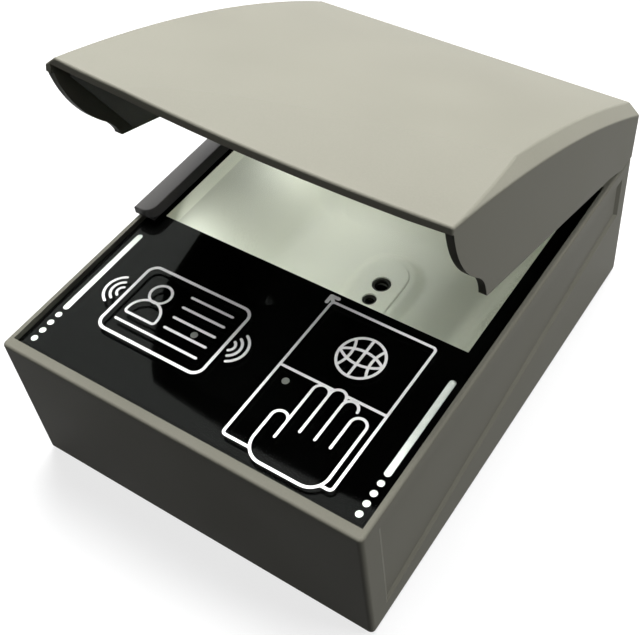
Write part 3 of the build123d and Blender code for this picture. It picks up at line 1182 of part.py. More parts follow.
with BuildPart() as hood_shell:
    dip = (CHEEK_DIP_REACH, CHEEK_EDGE_HEIGHT)
    left_dip = (SEAT_END[0] + SEAT_FRONT, LEFT_CHEEK_EDGE_HEIGHT)
    with BuildSketch(HOOD_PLANE.offset(-HOOD_HALF_WIDTH)):
        with BuildLine():
            cheek_outline(CHEEK_EDGE_HEIGHT, dip)
        make_face()
    extrude(amount=HOOD_HALF_WIDTH + HOLLOW_HALF_WIDTH)
    with BuildSketch(HOOD_PLANE.offset(HOLLOW_HALF_WIDTH)):
        with BuildLine():
            cheek_outline(LEFT_CHEEK_EDGE_HEIGHT, left_dip)
        make_face()
    extrude(amount=HOOD_WALL)
    roof = hood_shell.faces().filter_by(GeomType.CYLINDER).sort_by(SortBy.AREA)[-1]
    side_edges = [e for e in roof.edges() if abs(e.center().X) > HOLLOW_HALF_WIDTH]
    chamfer(side_edges, ROOF_CHAMFER_WIDTH, ROOF_CHAMFER_DROP, reference=roof)
    split(bisect_by=facet_plane(0), keep=Keep.BOTTOM)
    with BuildSketch(Plane(HOOD_PLANE.origin, x_dir=(1, 0, 0), z_dir=HEIGHT_DIRECTION)):
        with BuildLine():
            ThreePointArc(
                (-HOOD_HALF_WIDTH, -LIP_SIDE_REACH), (0, -LIP_REACH), (HOOD_HALF_WIDTH, -LIP_SIDE_REACH)
            )
            Polyline(
                (HOOD_HALF_WIDTH, -LIP_SIDE_REACH),
                (HOOD_HALF_WIDTH + LIP_BOW, -LIP_SIDE_REACH),
                (HOOD_HALF_WIDTH + LIP_BOW, -LIP_REACH - LIP_BOW),
                (-HOOD_HALF_WIDTH - LIP_BOW, -LIP_REACH - LIP_BOW),
                (-HOOD_HALF_WIDTH - LIP_BOW, -LIP_SIDE_REACH),
                (-HOOD_HALF_WIDTH, -LIP_SIDE_REACH),
            )
        make_face()
    extrude(amount=ROOF_CREST_HEIGHT + LIP_BOW, mode=Mode.SUBTRACT)
    roof_lines = []
    for edge in hood_shell.edges():
        aside, reach, height = edge_place(edge)
        on_chamfer = HOOD_HALF_WIDTH - ROOF_CHAMFER_WIDTH - 1 < aside < HOOD_HALF_WIDTH - 1
        if on_chamfer and height > CHEEK_MIDDLE_HEIGHT and edge.length > LIP_REACH / 4:
            roof_lines.append(edge)
    fillet(roof_lines, ROOF_LINE_RADIUS)
    side_lines = []
    for edge in hood_shell.edges():
        aside, reach, height = edge_place(edge)
        on_side = aside > HOOD_HALF_WIDTH - ROOF_LINE_RADIUS / 2
        if on_side and height > CHEEK_MIDDLE_HEIGHT and edge.length > LIP_REACH / 2:
            side_lines.append(edge)
    fillet(side_lines, SIDE_LINE_RADIUS)
    rear_lines = []
    for edge in hood_shell.edges():
        aside, reach, height = edge_place(edge)
        if reach < 0 and height > CHEEK_DIP_REACH and edge.length > ROOF_CHAMFER_WIDTH:
            rear_lines.append(edge)
    fillet(rear_lines, REAR_LINE_RADIUS)
    lip_lines = []
    for edge in hood_shell.edges():
        aside, reach, height = edge_place(edge)
        if reach > LIP_SIDE_REACH - LIP_LINE_RADIUS / 4 and height > CHEEK_HEIGHT + HOOD_WALL - 1:
            lip_lines.append(edge)
    fillet(lip_lines, LIP_LINE_RADIUS)
    add(hood_hollow.part, mode=Mode.SUBTRACT)
    with BuildSketch(Plane.XZ.offset(-PAD_FACE_Y)):
        for side in (-1, 1):
            with Locations((side * LEAF_MIDDLE_X, LEAF_Z)):
                Rectangle(LEAF_WIDTH, LEAF_HEIGHT)
    extrude(amount=-(LEAF_PAD + HOOD_WALL / 2))
    with BuildSketch(Plane.XZ.offset(-PAD_FACE_Y)):
        with Locations(LEAF_SCREW_PLACES):
            Circle(SMALL_SCREW_RADIUS)
    extrude(amount=-LEAF_SCREW_GRIP, mode=Mode.SUBTRACT)
    for x, reach in LINER_SCREW_PLACES:
        with BuildSketch(roof_plane(x, reach, ROOF_UNDER_RADIUS - LINER_GAP)):
            Circle(POST_RADIUS)
        extrude(amount=LINER_GAP + HOOD_WALL / 2)
        with BuildSketch(roof_plane(x, reach, ROOF_UNDER_RADIUS - LINER_GAP)):
            Circle(SMALL_SCREW_RADIUS)
        extrude(amount=LINER_SCREW_GRIP, mode=Mode.SUBTRACT)
save(hood_shell, "hood_shell")

# Dark liner under the roof, with skirts down the cheeks
with BuildPart() as hood_liner:
    for skin, mode in ((0.0, Mode.ADD), (LINER_THICKNESS, Mode.SUBTRACT)):
        liner_radius = ROOF_UNDER_RADIUS - LINER_GAP - skin
        rear_reach = LINER_REAR_REACH - skin
        front_reach = LINER_FRONT_REACH + skin
        middle_reach = (rear_reach + front_reach) / 2
        with BuildPart(mode=Mode.PRIVATE) as liner_block:
            with BuildSketch(HOOD_PLANE):
                with BuildLine():
                    ThreePointArc(
                        (rear_reach, roof_height(rear_reach, liner_radius)),
                        (middle_reach, roof_height(middle_reach, liner_radius)),
                        (front_reach, roof_height(front_reach, liner_radius)),
                    )
                    Polyline(
                        (front_reach, roof_height(front_reach, liner_radius)),
                        (front_reach, LINER_FRONT_HEIGHT),
                        (LINER_SKIRT_REACH + skin, LINER_SKIRT_HEIGHT - skin),
                        (rear_reach, LINER_SKIRT_HEIGHT - skin),
                        (rear_reach, roof_height(rear_reach, liner_radius)),
                    )
                make_face()
            extrude(amount=HOLLOW_HALF_WIDTH - LINER_GAP - skin, both=True)
            split(bisect_by=facet_plane(HOOD_WALL + LINER_GAP + skin), keep=Keep.BOTTOM)
        add(liner_block.part, mode=mode)
    for x, reach in LINER_SCREW_PLACES:
        with BuildSketch(roof_plane(x, reach, ROOF_UNDER_RADIUS - LINER_GAP)):
            Circle(SMALL_SCREW_RADIUS + SCREW_CLEARANCE)
        extrude(amount=-2 * LINER_THICKNESS, mode=Mode.SUBTRACT)
save(hood_liner, "hood_liner")

with BuildPart() as liner_screws:
    for x, reach in LINER_SCREW_PLACES:
        liner_face = roof_plane(x, reach, ROOF_UNDER_RADIUS - LINER_GAP).offset(
            -LINER_THICKNESS - LINER_SCREW_SEAT
        )
        with BuildSketch(liner_face):
            Circle(SMALL_SCREW_HEAD_RADIUS)
        extrude(amount=-SMALL_SCREW_HEAD_HEIGHT)
        with BuildSketch(liner_face):
            Circle(SMALL_SCREW_RADIUS)
        extrude(amount=LINER_THICKNESS + LINER_SCREW_GRIP - 2 * SCREW_CLEARANCE)
save(liner_screws, "liner_screws")

# Hinges: bracket on the rear deck, pin, friction washer, hood arm, disc washer and nut
for side, side_name in ((-1, "left"), (1, "right")):
    outward = Plane(origin=(0, AXIS_Y, AXIS_Z), x_dir=(0, side, 0), z_dir=(side, 0, 0))
    with BuildPart() as base_bracket:
        with BuildSketch(level(RIM_Z)):
            with Locations((side * (HINGE_SPACING / 2 - (FOOT_PLATE_WIDTH + EAR_THICKNESS) / 2), AXIS_Y)):
                with Locations((0, (FOOT_PLATE_REAR - FOOT_PLATE_FRONT) / 2)):
                    Rectangle(FOOT_PLATE_WIDTH + EAR_THICKNESS, FOOT_PLATE_REAR + FOOT_PLATE_FRONT)
            with Locations([p for p in BRACKET_SCREW_PLACES if p[0] * side > 0]):
                Circle(SCREW_RADIUS + SCREW_CLEARANCE, mode=Mode.SUBTRACT)
        extrude(amount=BRACKET_THICKNESS)
        with BuildSketch(outward.offset(HINGE_SPACING / 2 - EAR_THICKNESS)):
            Circle(EAR_RADIUS)
            with Locations((0, -AXIS_HEIGHT / 2)):
                Rectangle(2 * EAR_RADIUS, AXIS_HEIGHT)
            Circle(PIN_RADIUS + PIN_RUNNING_GAP, mode=Mode.SUBTRACT)
        extrude(amount=EAR_THICKNESS)
    save(base_bracket, f"hinge_bracket_{side_name}")
    with BuildPart() as hinge_arm:
        with BuildSketch(outward.offset(ARM_INNER_X)):
            Circle(ARM_RADIUS)
            with Locations((0, ARM_HEIGHT / 2)):
                Rectangle(2 * ARM_RADIUS, ARM_HEIGHT)
            Circle(PIN_RADIUS, mode=Mode.SUBTRACT)
        extrude(amount=ARM_THICKNESS)
        with BuildSketch(Plane.XZ.offset(-PAD_FACE_Y)):
            with Locations((side * LEAF_MIDDLE_X, LEAF_Z)):
                Rectangle(LEAF_WIDTH, LEAF_HEIGHT)
            with Locations([p for p in LEAF_SCREW_PLACES if p[0] * side > 0]):
                Circle(SMALL_SCREW_RADIUS + SCREW_CLEARANCE, mode=Mode.SUBTRACT)
        extrude(amount=ARM_THICKNESS)
    save(hinge_arm, f"hinge_arm_{side_name}")

EAR_INNER_X = HINGE_SPACING / 2 - EAR_THICKNESS
WASHER_INNER_X = EAR_INNER_X - SIDE_PLAY - WASHER_THICKNESS
NUT_INNER_X = WASHER_INNER_X - NUT_THICKNESS
HEAD_INNER_X = ARM_INNER_X + ARM_THICKNESS

with BuildPart() as hinge_pins:
    for side in (-1, 1):
        outward = Plane(origin=(0, AXIS_Y, AXIS_Z), x_dir=(0, side, 0), z_dir=(side, 0, 0))
        with BuildSketch(outward.offset(NUT_INNER_X)):
            Circle(PIN_RADIUS)
        extrude(amount=HEAD_INNER_X - NUT_INNER_X)
        with BuildSketch(outward.offset(HEAD_INNER_X)):
            Circle(PIN_HEAD_RADIUS)
        extrude(amount=PIN_HEAD_THICKNESS)
save(hinge_pins, "hinge_pins")

for ring_name, ring_x, ring_radius, ring_thickness in (
    ("friction_washers", HINGE_SPACING / 2 + SIDE_PLAY, ARM_RADIUS, FRICTION_WASHER_THICKNESS),
    ("disc_washers", WASHER_INNER_X, WASHER_RADIUS, WASHER_THICKNESS),
):
    with BuildPart() as rings:
        for side in (-1, 1):
            outward = Plane(origin=(0, AXIS_Y, AXIS_Z), x_dir=(0, side, 0), z_dir=(side, 0, 0))
            with BuildSketch(outward.offset(ring_x)):
                Circle(ring_radius)
                Circle(PIN_RADIUS, mode=Mode.SUBTRACT)
            extrude(amount=ring_thickness)
    save(rings, ring_name)

with BuildPart() as hinge_nuts:
    for side in (-1, 1):
        outward = Plane(origin=(0, AXIS_Y, AXIS_Z), x_dir=(0, side, 0), z_dir=(side, 0, 0))
        with BuildSketch(outward.offset(NUT_INNER_X)):
            RegularPolygon(NUT_RADIUS, 6)
            Circle(PIN_RADIUS, mode=Mode.SUBTRACT)
        extrude(amount=NUT_THICKNESS)
save(hinge_nuts, "hinge_nuts")

with BuildPart() as bracket_screws:
    with BuildSketch(level(RIM_Z + BRACKET_THICKNESS)):
        with Locations(BRACKET_SCREW_PLACES):
            Circle(SCREW_HEAD_RADIUS)
    extrude(amount=SCREW_HEAD_HEIGHT)
    with BuildSketch(level(RIM_Z + BRACKET_THICKNESS)):
        with Locations(BRACKET_SCREW_PLACES):
            Circle(SCREW_RADIUS)
    extrude(amount=-(BRACKET_THICKNESS + RIM_Z - CAVITY_TOP_Z))
save(bracket_screws, "bracket_screws")

with BuildPart() as arm_screws:
    with BuildSketch(Plane.XZ.offset(-(PAD_FACE_Y - ARM_THICKNESS))):
        with Locations(LEAF_SCREW_PLACES):
            Circle(SMALL_SCREW_HEAD_RADIUS)
    extrude(amount=SMALL_SCREW_HEAD_HEIGHT)
    with BuildSketch(Plane.XZ.offset(-(PAD_FACE_Y - ARM_THICKNESS))):
        with Locations(LEAF_SCREW_PLACES):
            Circle(SMALL_SCREW_RADIUS)
    extrude(amount=-(ARM_THICKNESS + LEAF_SCREW_GRIP - SCREW_CLEARANCE))
save(arm_screws, "arm_screws")
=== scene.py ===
"""Looks of a travel document scanner: finishes, the print on its glass, studio and camera.

Lengths are in metres. Only the print on the glass is drawn in millimetres, and its classes say
so. X points right, Y to the rear, Z up.
"""

import logging
import math
from dataclasses import dataclass
from enum import Enum

import bmesh
import bpy
from mathutils import Matrix, Vector


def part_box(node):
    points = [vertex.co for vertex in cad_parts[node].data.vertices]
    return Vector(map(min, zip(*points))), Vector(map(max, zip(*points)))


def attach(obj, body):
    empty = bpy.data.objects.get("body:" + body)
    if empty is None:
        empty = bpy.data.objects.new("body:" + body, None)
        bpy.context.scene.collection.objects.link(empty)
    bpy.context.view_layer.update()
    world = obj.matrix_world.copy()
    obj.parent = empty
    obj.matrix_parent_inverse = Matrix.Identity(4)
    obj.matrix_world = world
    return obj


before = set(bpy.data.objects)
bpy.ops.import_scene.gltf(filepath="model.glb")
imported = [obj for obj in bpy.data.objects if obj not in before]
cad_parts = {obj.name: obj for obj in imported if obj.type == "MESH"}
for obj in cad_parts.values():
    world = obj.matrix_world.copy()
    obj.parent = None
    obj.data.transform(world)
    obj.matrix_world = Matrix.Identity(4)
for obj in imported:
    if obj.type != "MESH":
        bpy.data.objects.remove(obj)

LOG = logging.getLogger("scanner")
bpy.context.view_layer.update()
MM = 0.001
Colour = tuple[int, int, int]


def linear(colour: Colour) -> tuple[float, float, float, float]:
    """Turn a colour on the 0 to 255 display scale into the scene's linear scale.

    Args:
        colour: Red, green and blue, each 0 to 255.

    Returns:
        The linear red, green and blue with an alpha of 1.
    """
    knee, slope, offset, power = 0.04045, 12.92, 0.055, 2.4

    def straighten(share: float) -> float:
        """Turn one channel, from 0 to 1, into the linear scale."""
        if share <= knee:
            return share / slope
        return ((share + offset) / (1 + offset)) ** power

    return (*(straighten(value / 255) for value in colour), 1.0)


class Graph:
    """The node tree of one material or world.

    A noise keeps mostly to the middle of 0 to 1, between NOISE_LOW and NOISE_HIGH.
    """

    NOISE_LOW = 0.3
    NOISE_HIGH = 0.7

    def __init__(self, owner: bpy.types.Material | bpy.types.World) -> None:
        """Start an empty tree.

        Args:
            owner: The material or world that the tree belongs to.
        """
        owner.use_nodes = True
        self.owner = owner
        self.tree = owner.node_tree
        self.tree.nodes.clear()

    @classmethod
    def of_material(cls, name: str) -> "Graph":
        """Start the tree of a new material."""
        return cls(bpy.data.materials.new(name))

    def add(self, kind: str, options: dict | None = None, **inputs: object) -> bpy.types.Node:
        """Add a node.

        Args:
            kind: The node's type, without its ShaderNode prefix.
            options: Properties of the node.
            inputs: Values or output sockets, by input name with _ for a blank.

        Returns:
            The new node.
        """
        node = self.tree.nodes.new("ShaderNode" + kind)
        for name, value in (options or {}).items():
            setattr(node, name, value)
        for name, value in inputs.items():
            self.feed(node.inputs[name.replace("_", " ")], value)
        return node

    def feed(self, socket: bpy.types.NodeSocket, value: object) -> None:
        """Set an input to a value, or link an output to it.

        Args:
            socket: The input.
            value: A plain value or an output socket.
        """
        if isinstance(value, bpy.types.NodeSocket):
            self.tree.links.new(value, socket)
        else:
            socket.default_value = value

    def math(self, operation: str, first: object, second: object) -> bpy.types.NodeSocket:
        """Calculate with two values.

        Args:
            operation: The Math node's operation.
            first: The first value, or an output socket.
            second: The second value, or an output socket.

        Returns:
            The result.
        """
        node = self.add("Math", {"operation": operation})
        self.feed(node.inputs[0], first)
        self.feed(node.inputs[1], second)
        return node.outputs[0]

    def place(self, scale: tuple[float, float, float] = (1, 1, 1)) -> bpy.types.NodeSocket:
        """Return the object's own coordinates, stretched by a scale."""
        coordinates = self.add("TexCoord").outputs["Object"]
        return self.add("Mapping", Vector=coordinates, Scale=scale).outputs[0]

    def noise(
        self, size: float, detail: float = 2.0, stretch: tuple[float, float, float] = (1, 1, 1)
    ) -> bpy.types.NodeSocket:
        """Make a noise.

        Args:
            size: About how wide its features are, in metres.
            detail: How much finer detail is mixed in.
            stretch: A scale for each axis of the object's coordinates.

        Returns:
            The noise, from 0 to 1.
        """
        node = self.add("TexNoise", Vector=self.place(stretch), Scale=1 / size, Detail=detail)
        return node.outputs[0]

    def blend(self, share: object, first: object, second: object) -> bpy.types.NodeSocket:
        """Mix two colours.

        Args:
            share: How much of the second colour shows.
            first: The first colour, or an output socket.
            second: The second colour, or an output socket.

        Returns:
            The mixed colour.
        """
        node = self.add("Mix", {"data_type": "RGBA"})
        self.feed(node.inputs[0], share)
        for socket, value in ((node.inputs[6], first), (node.inputs[7], second)):
            self.feed(socket, value if isinstance(value, bpy.types.NodeSocket) else linear(value))
        return node.outputs[2]

    def spread(self, value: bpy.types.NodeSocket, low: float, high: float) -> bpy.types.NodeSocket:
        """Stretch the middle of a noise over a range.

        Args:
            value: The noise.
            low: What its low values become.
            high: What its high values become.

        Returns:
            The stretched noise.
        """
        node = self.add("MapRange", Value=value, To_Min=low, To_Max=high)
        self.feed(node.inputs["From Min"], self.NOISE_LOW)
        self.feed(node.inputs["From Max"], self.NOISE_HIGH)
        return node.outputs[0]

    def relief(self, value: bpy.types.NodeSocket, depth: float) -> bpy.types.NodeSocket:
        """Return a normal that follows a height, in metres from trough to crest."""
        return self.add("Bump", Height=value, Distance=depth, Strength=1.0).outputs[0]

    def finish(self, shader: bpy.types.NodeSocket) -> bpy.types.Material | bpy.types.World:
        """Join a shader to the output.

        Args:
            shader: The shader.

        Returns:
            The material or world that the tree belongs to.
        """
        world = isinstance(self.owner, bpy.types.World)
        output = self.add("OutputWorld" if world else "OutputMaterial")
        self.feed(output.inputs[0], shader)
        return self.owner


@dataclass(frozen=True)
class Moulded:
    """An opaque finish with a fine grain, such as paint, plastic, rubber or print.

    The grain and the patches are sizes in metres, and the relief is the grain's depth. The
    grain's share says how much of the unevenness is grain, and the rest is patches.
    """

    name: str
    dark: Colour
    light: Colour
    roughness: float
    spread: float = 0.05
    grain: float = 0.0007
    patch: float = 0.04
    patch_detail: float = 1.0
    relief: float = 0.000008
    specular: float = 0.5
    grain_share: float = 0.4

    def build(self) -> bpy.types.Material:
        """Make the material.

        Returns:
            The new material.
        """
        graph = Graph.of_material(self.name)
        fine = graph.noise(self.grain)
        broad = graph.noise(self.patch, self.patch_detail)
        fine_part = graph.math("MULTIPLY", fine, self.grain_share)
        broad_part = graph.math("MULTIPLY", broad, 1 - self.grain_share)
        share = graph.math("ADD", fine_part, broad_part)
        low, high = self.roughness - self.spread, self.roughness + self.spread
        shader = graph.add(
            "BsdfPrincipled",
            Base_Color=graph.blend(graph.spread(share, 0.0, 1.0), self.dark, self.light),
            Roughness=graph.spread(share, low, high),
            Specular_IOR_Level=self.specular,
            Normal=graph.relief(fine, self.relief),
        )
        return graph.finish(shader.outputs[0])


@dataclass(frozen=True)
class Brushed:
    """Metal with fine marks along one axis, given by the stretch of its noise."""

    name: str
    dark: Colour
    light: Colour
    roughness: float
    stretch: tuple[float, float, float] = (1.0, 0.06, 1.0)
    mark: float = 0.0003
    detail: float = 3.0
    spread: float = 0.08
    relief: float = 0.000004

    def build(self) -> bpy.types.Material:
        """Make the material.

        Returns:
            The new material.
        """
        graph = Graph.of_material(self.name)
        marks = graph.noise(self.mark, self.detail, self.stretch)
        low, high = self.roughness - self.spread, self.roughness + self.spread
        shader = graph.add(
            "BsdfPrincipled",
            Base_Color=graph.blend(graph.spread(marks, 0.0, 1.0), self.dark, self.light),
            Roughness=graph.spread(marks, low, high),
            Metallic=1.0,
            Normal=graph.relief(marks, self.relief),
        )
        return graph.finish(shader.outputs[0])


@dataclass(frozen=True)
class Milky:
    """A pale plastic that spreads the light that goes through it.

    The cloud is the size of its uneven patches and the depth is how far light strays, in metres.
    """

    name: str
    dark: Colour
    light: Colour
    roughness: float = 0.35
    spread: float = 0.05
    cloud: float = 0.003
    stray_share: float = 0.3
    stray_scale: float = 0.5
    depth: float = 0.002

    def build(self) -> bpy.types.Material:
        """Make the material.

        Returns:
            The new material.
        """
        graph = Graph.of_material(self.name)
        cloud = graph.noise(self.cloud)
        low, high = self.roughness - self.spread, self.roughness + self.spread
        shader = graph.add(
            "BsdfPrincipled",
            Base_Color=graph.blend(graph.spread(cloud, 0.0, 1.0), self.dark, self.light),
            Roughness=graph.spread(cloud, low, high),
            Subsurface_Weight=self.stray_share,
            Subsurface_Radius=(self.depth, self.depth, self.depth),
            Subsurface_Scale=self.stray_scale,
        )
        return graph.finish(shader.outputs[0])


@dataclass(frozen=True)
class ClearGlass:
    """Clear glass: what lies under it shows straight through, and its outer face mirrors.

    The mirror share says how much of its natural mirror image the glass draws. Over black, the
    print below draws the rest, because the few rays that clear glass mirrors look grainy there.
    The patch is the width of the smears in metres, and the smear is how much rougher they are.
    """

    name: str
    tint: Colour = (250, 252, 250)
    mirror_share: float = 1.0
    roughness: float = 0.03
    smear: float = 0.02
    patch: float = 0.03
    detail: float = 3.0
    bend: float = 1.5

    def build(self) -> bpy.types.Material:
        """Make the material.

        Returns:
            The new material.
        """
        graph = Graph.of_material(self.name)
        smears = graph.noise(self.patch, self.detail)
        through = graph.add("BsdfTransparent", Color=linear(self.tint))
        uneven = graph.spread(smears, self.roughness, self.roughness + self.smear)
        mirror = graph.add("BsdfGlossy", Roughness=uneven)
        inside = graph.add("NewGeometry").outputs["Backfacing"]
        full = graph.add("Fresnel", IOR=self.bend).outputs[0]
        share = graph.math("MULTIPLY", full, self.mirror_share)
        outer = graph.math("MULTIPLY", share, graph.math("SUBTRACT", 1.0, inside))
        mix = graph.add("MixShader", Fac=outer)
        graph.feed(mix.inputs[1], through.outputs[0])
        graph.feed(mix.inputs[2], mirror.outputs[0])
        return graph.finish(mix.outputs[0])


@dataclass(frozen=True)
class CircuitBoard:
    """Green board with paler tracks under its varnish, and bare pads.

    The cell is the spacing of tracks and pads in metres, of which each takes a share. The patch
    is the width of the varnish's uneven places, and the relief is the tracks' height.
    """

    name: str
    varnish: Colour = (18, 74, 44)
    track: Colour = (34, 104, 62)
    pad: Colour = (196, 168, 96)
    cell: float = 0.004
    track_share: float = 0.06
    pad_share: float = 0.12
    patch: float = 0.01
    patch_share: float = 0.4
    roughness: float = 0.42
    pad_gloss: float = 0.12
    relief: float = 0.00003

    def build(self) -> bpy.types.Material:
        """Make the material.

        Returns:
            The new material.
        """
        graph = Graph.of_material(self.name)
        cells = {"Vector": graph.place(), "Scale": 1 / self.cell}
        edges = graph.add("TexVoronoi", {"feature": "DISTANCE_TO_EDGE"}, **cells).outputs[0]
        dots = graph.add("TexVoronoi", **cells).outputs[0]
        on_track = graph.math("LESS_THAN", edges, self.track_share)
        on_pad = graph.math("LESS_THAN", dots, self.pad_share)
        uneven = graph.spread(graph.noise(self.patch), 0.0, self.patch_share)
        varnish = graph.blend(uneven, self.varnish, self.track)
        gloss = graph.math("MULTIPLY", on_pad, self.pad_gloss)
        tracks = graph.blend(on_track, varnish, self.track)
        shader = graph.add(
            "BsdfPrincipled",
            Base_Color=graph.blend(on_pad, tracks, self.pad),
            Roughness=graph.math("SUBTRACT", self.roughness, gloss),
            Normal=graph.relief(on_track, self.relief),
        )
        return graph.finish(shader.outputs[0])


@dataclass(frozen=True)
class RibbonCable:
    """Grey flat cable whose wire ridges carry a painted highlight and whose grooves carry painted
    shade.

    The pitch of the wires, the patches' width and the ridges' relief are in metres. A wave node
    of scale 1 has a period of 2 pi / 20.
    """

    WAVE_TURNS = 2 * math.pi / 20

    name: str
    groove_painted_shade: Colour = (120, 122, 124)
    ridge_painted_highlight: Colour = (186, 188, 190)
    pitch: float = 0.00127
    roughness: tuple[float, float] = (0.42, 0.52)
    patch: float = 0.002
    relief: float = 0.0002

    def build(self) -> bpy.types.Material:
        """Make the material.

        Returns:
            The new material.
        """
        graph = Graph.of_material(self.name)
        options = {"wave_type": "BANDS", "bands_direction": "X"}
        scale = self.WAVE_TURNS / self.pitch
        wires = graph.add("TexWave", options, Vector=graph.place(), Scale=scale).outputs[1]
        shader = graph.add(
            "BsdfPrincipled",
            # Painted shade in the grooves and a painted highlight on the ridges, following the
            # wave.
            Base_Color=graph.blend(wires, self.groove_painted_shade, self.ridge_painted_highlight),
            Roughness=graph.spread(graph.noise(self.patch), *self.roughness),
            Normal=graph.relief(wires, self.relief),
        )
        return graph.finish(shader.outputs[0])


class Finishes(Enum):
    """Every finish on the scanner."""

    PAINT = Moulded(
        "satin_paint", (88, 87, 79), (93, 92, 84), 0.42, specular=0.015, relief=0.000006
    )
    RAIL = Moulded("rail_paint", (68, 67, 66), (74, 73, 72), 0.34, specular=0.1)
    DARK_PLASTIC = Moulded(
        "dark_plastic", (38, 38, 35), (46, 46, 42), 0.5, grain=0.001, relief=0.00003
    )
    GLASS = ClearGlass("cover_glass_clear", mirror_share=0.1)
    # The lens glass's dark tint is painted shade, standing for the dark inside of the camera.
    LENS = ClearGlass("lens_glass_painted_dark", (24, 26, 32))
    BLACK_PRINT = Moulded(
        "black_glass_print", (1, 1, 1), (3, 3, 3), 0.05, 0.02, grain=0.02, relief=0.0
    )
    SENSOR_WINDOW = Moulded("sensor_window", (160, 160, 156), (182, 182, 178), 0.35, grain=0.0008)
    CHAMBER = Moulded("warm_white_bowl", (230, 231, 218), (236, 237, 226), 0.3, relief=0.000005)
    DIFFUSER = Milky("diffuser_milk", (228, 230, 228), (240, 242, 240))
    GUIDE = Milky("light_guide_white", (240, 240, 238), (250, 250, 248))
    RUBBER = Moulded("black_rubber", (22, 22, 22), (32, 32, 31), 0.75, grain=0.0012, relief=0.00004)
    SCREW = Brushed("screw_steel", (150, 150, 148), (196, 196, 194), 0.3)
    HINGE = Brushed("hinge_steel", (110, 110, 108), (150, 150, 148), 0.38)
    BOARD = CircuitBoard("circuit_board")
    CHIP = Moulded("chip_black", (24, 25, 26), (34, 35, 36), 0.5, grain=0.0005, relief=0.00001)
    SENSOR_CHIP = Moulded(
        "sensor_chip", (26, 24, 34), (44, 40, 56), 0.2, grain=0.0004, relief=0.000002
    )
    WHITE_LAMP = Moulded("white_lamp", (226, 214, 120), (240, 228, 150), 0.3, grain=0.0008)
    ULTRAVIOLET_LAMP = Moulded(
        "ultraviolet_lamp", (128, 116, 190), (150, 138, 208), 0.25, grain=0.0008
    )
    INFRARED_LAMP = Moulded("infrared_lamp", (44, 26, 34), (64, 36, 46), 0.25, grain=0.0008)
    STATUS_LAMP = Moulded("status_lamp", (210, 220, 214), (228, 238, 232), 0.3, grain=0.0008)
    HEAT_SINK = Brushed("heat_sink_aluminium", (150, 152, 154), (184, 186, 188), 0.42)
    BRASS = Brushed("post_brass", (176, 138, 70), (204, 168, 96), 0.3)
    RIBBON = RibbonCable("ribbon_grey")
    INK = Moulded("white_ink", (238, 238, 236), (248, 248, 246), 0.5, grain=0.0003, relief=0.000002)

    def material(self) -> bpy.types.Material:
        """Return the finish's material, made on first use."""
        return bpy.data.materials.get(self.value.name) or self.value.build()


def dress(finish: Finishes, *nodes: str) -> None:
    """Give CAD nodes a finish.

    Args:
        finish: The finish.
        nodes: The nodes' names.
    """
    for node in nodes:
        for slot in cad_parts[node].material_slots:
            slot.material = finish.material()
        LOG.info("%s dressed in %s", node, finish.value.name)


def add_piece(
    name: str, mesh: bmesh.types.BMesh, finish: Finishes, body: str
) -> bpy.types.Object:
    """Turn a finished mesh, in millimetres, into a piece that rides on a body.

    Args:
        name: The piece's name.
        mesh: Its mesh, which is freed.
        finish: Its finish.
        body: The CAD body that carries it.

    Returns:
        The new piece.
    """
    bmesh.ops.remove_doubles(mesh, verts=mesh.verts, dist=Pen.SAME_POINT)
    bmesh.ops.recalc_face_normals(mesh, faces=mesh.faces)
    bmesh.ops.scale(mesh, verts=mesh.verts, vec=Vector((MM, MM, MM)))
    data = bpy.data.meshes.new(name)
    mesh.to_mesh(data)
    mesh.free()
    piece = bpy.data.objects.new(name, data)
    bpy.context.scene.collection.objects.link(piece)
    data.materials.append(finish.material())
    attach(piece, body)
    LOG.info("%s built: %d faces", name, len(data.polygons))
    return piece


@dataclass
class Stroke:
    """A flat line that is being drawn: its strip so far, its front edge, place and heading.

    The place is in millimetres and the heading's angle in radians.
    """

    ARC_STEP = math.radians(7.5)

    strip: bmesh.types.BMesh
    edges: list[bmesh.types.BMEdge]
    spot: Vector
    angle: float

    def ahead(self) -> Vector:
        """Return the heading as a unit vector."""
        return Vector((math.cos(self.angle), math.sin(self.angle), 0.0))

    def push(self, length: float) -> None:
        """Push the front edge along a straight.

        Args:
            length: How far, in millimetres.
        """
        grown = bmesh.ops.extrude_edge_only(self.strip, edges=self.edges)["geom"]
        moved = [item for item in grown if isinstance(item, bmesh.types.BMVert)]
        bmesh.ops.translate(self.strip, verts=moved, vec=self.ahead() * length)
        edges = [item for item in grown if isinstance(item, bmesh.types.BMEdge)]
        self.edges = [edge for edge in edges if all(vert in moved for vert in edge.verts)]
        self.spot = self.spot + self.ahead() * length

    def spin(self, radius: float, degrees: float) -> None:
        """Spin the front edge round an arc.

        Args:
            radius: The arc's radius in millimetres.
            degrees: How far it turns, positive to the left.
        """
        turn = math.radians(degrees)
        ahead = self.ahead()
        to_centre = Vector((-ahead.y, ahead.x, 0.0)) * math.copysign(radius, turn)
        centre = self.spot + to_centre
        verts = [vert for edge in self.edges for vert in edge.verts]
        spun = bmesh.ops.spin(
            self.strip,
            geom=verts + self.edges,
            cent=centre,
            axis=(0.0, 0.0, 1.0),
            angle=turn,
            steps=max(2, round(abs(turn) / self.ARC_STEP)),
            use_duplicate=False,
        )["geom_last"]
        self.edges = [item for item in spun if isinstance(item, bmesh.types.BMEdge)]
        self.spot = centre + Matrix.Rotation(turn, 3, "Z") @ (self.spot - centre)
        self.angle += turn


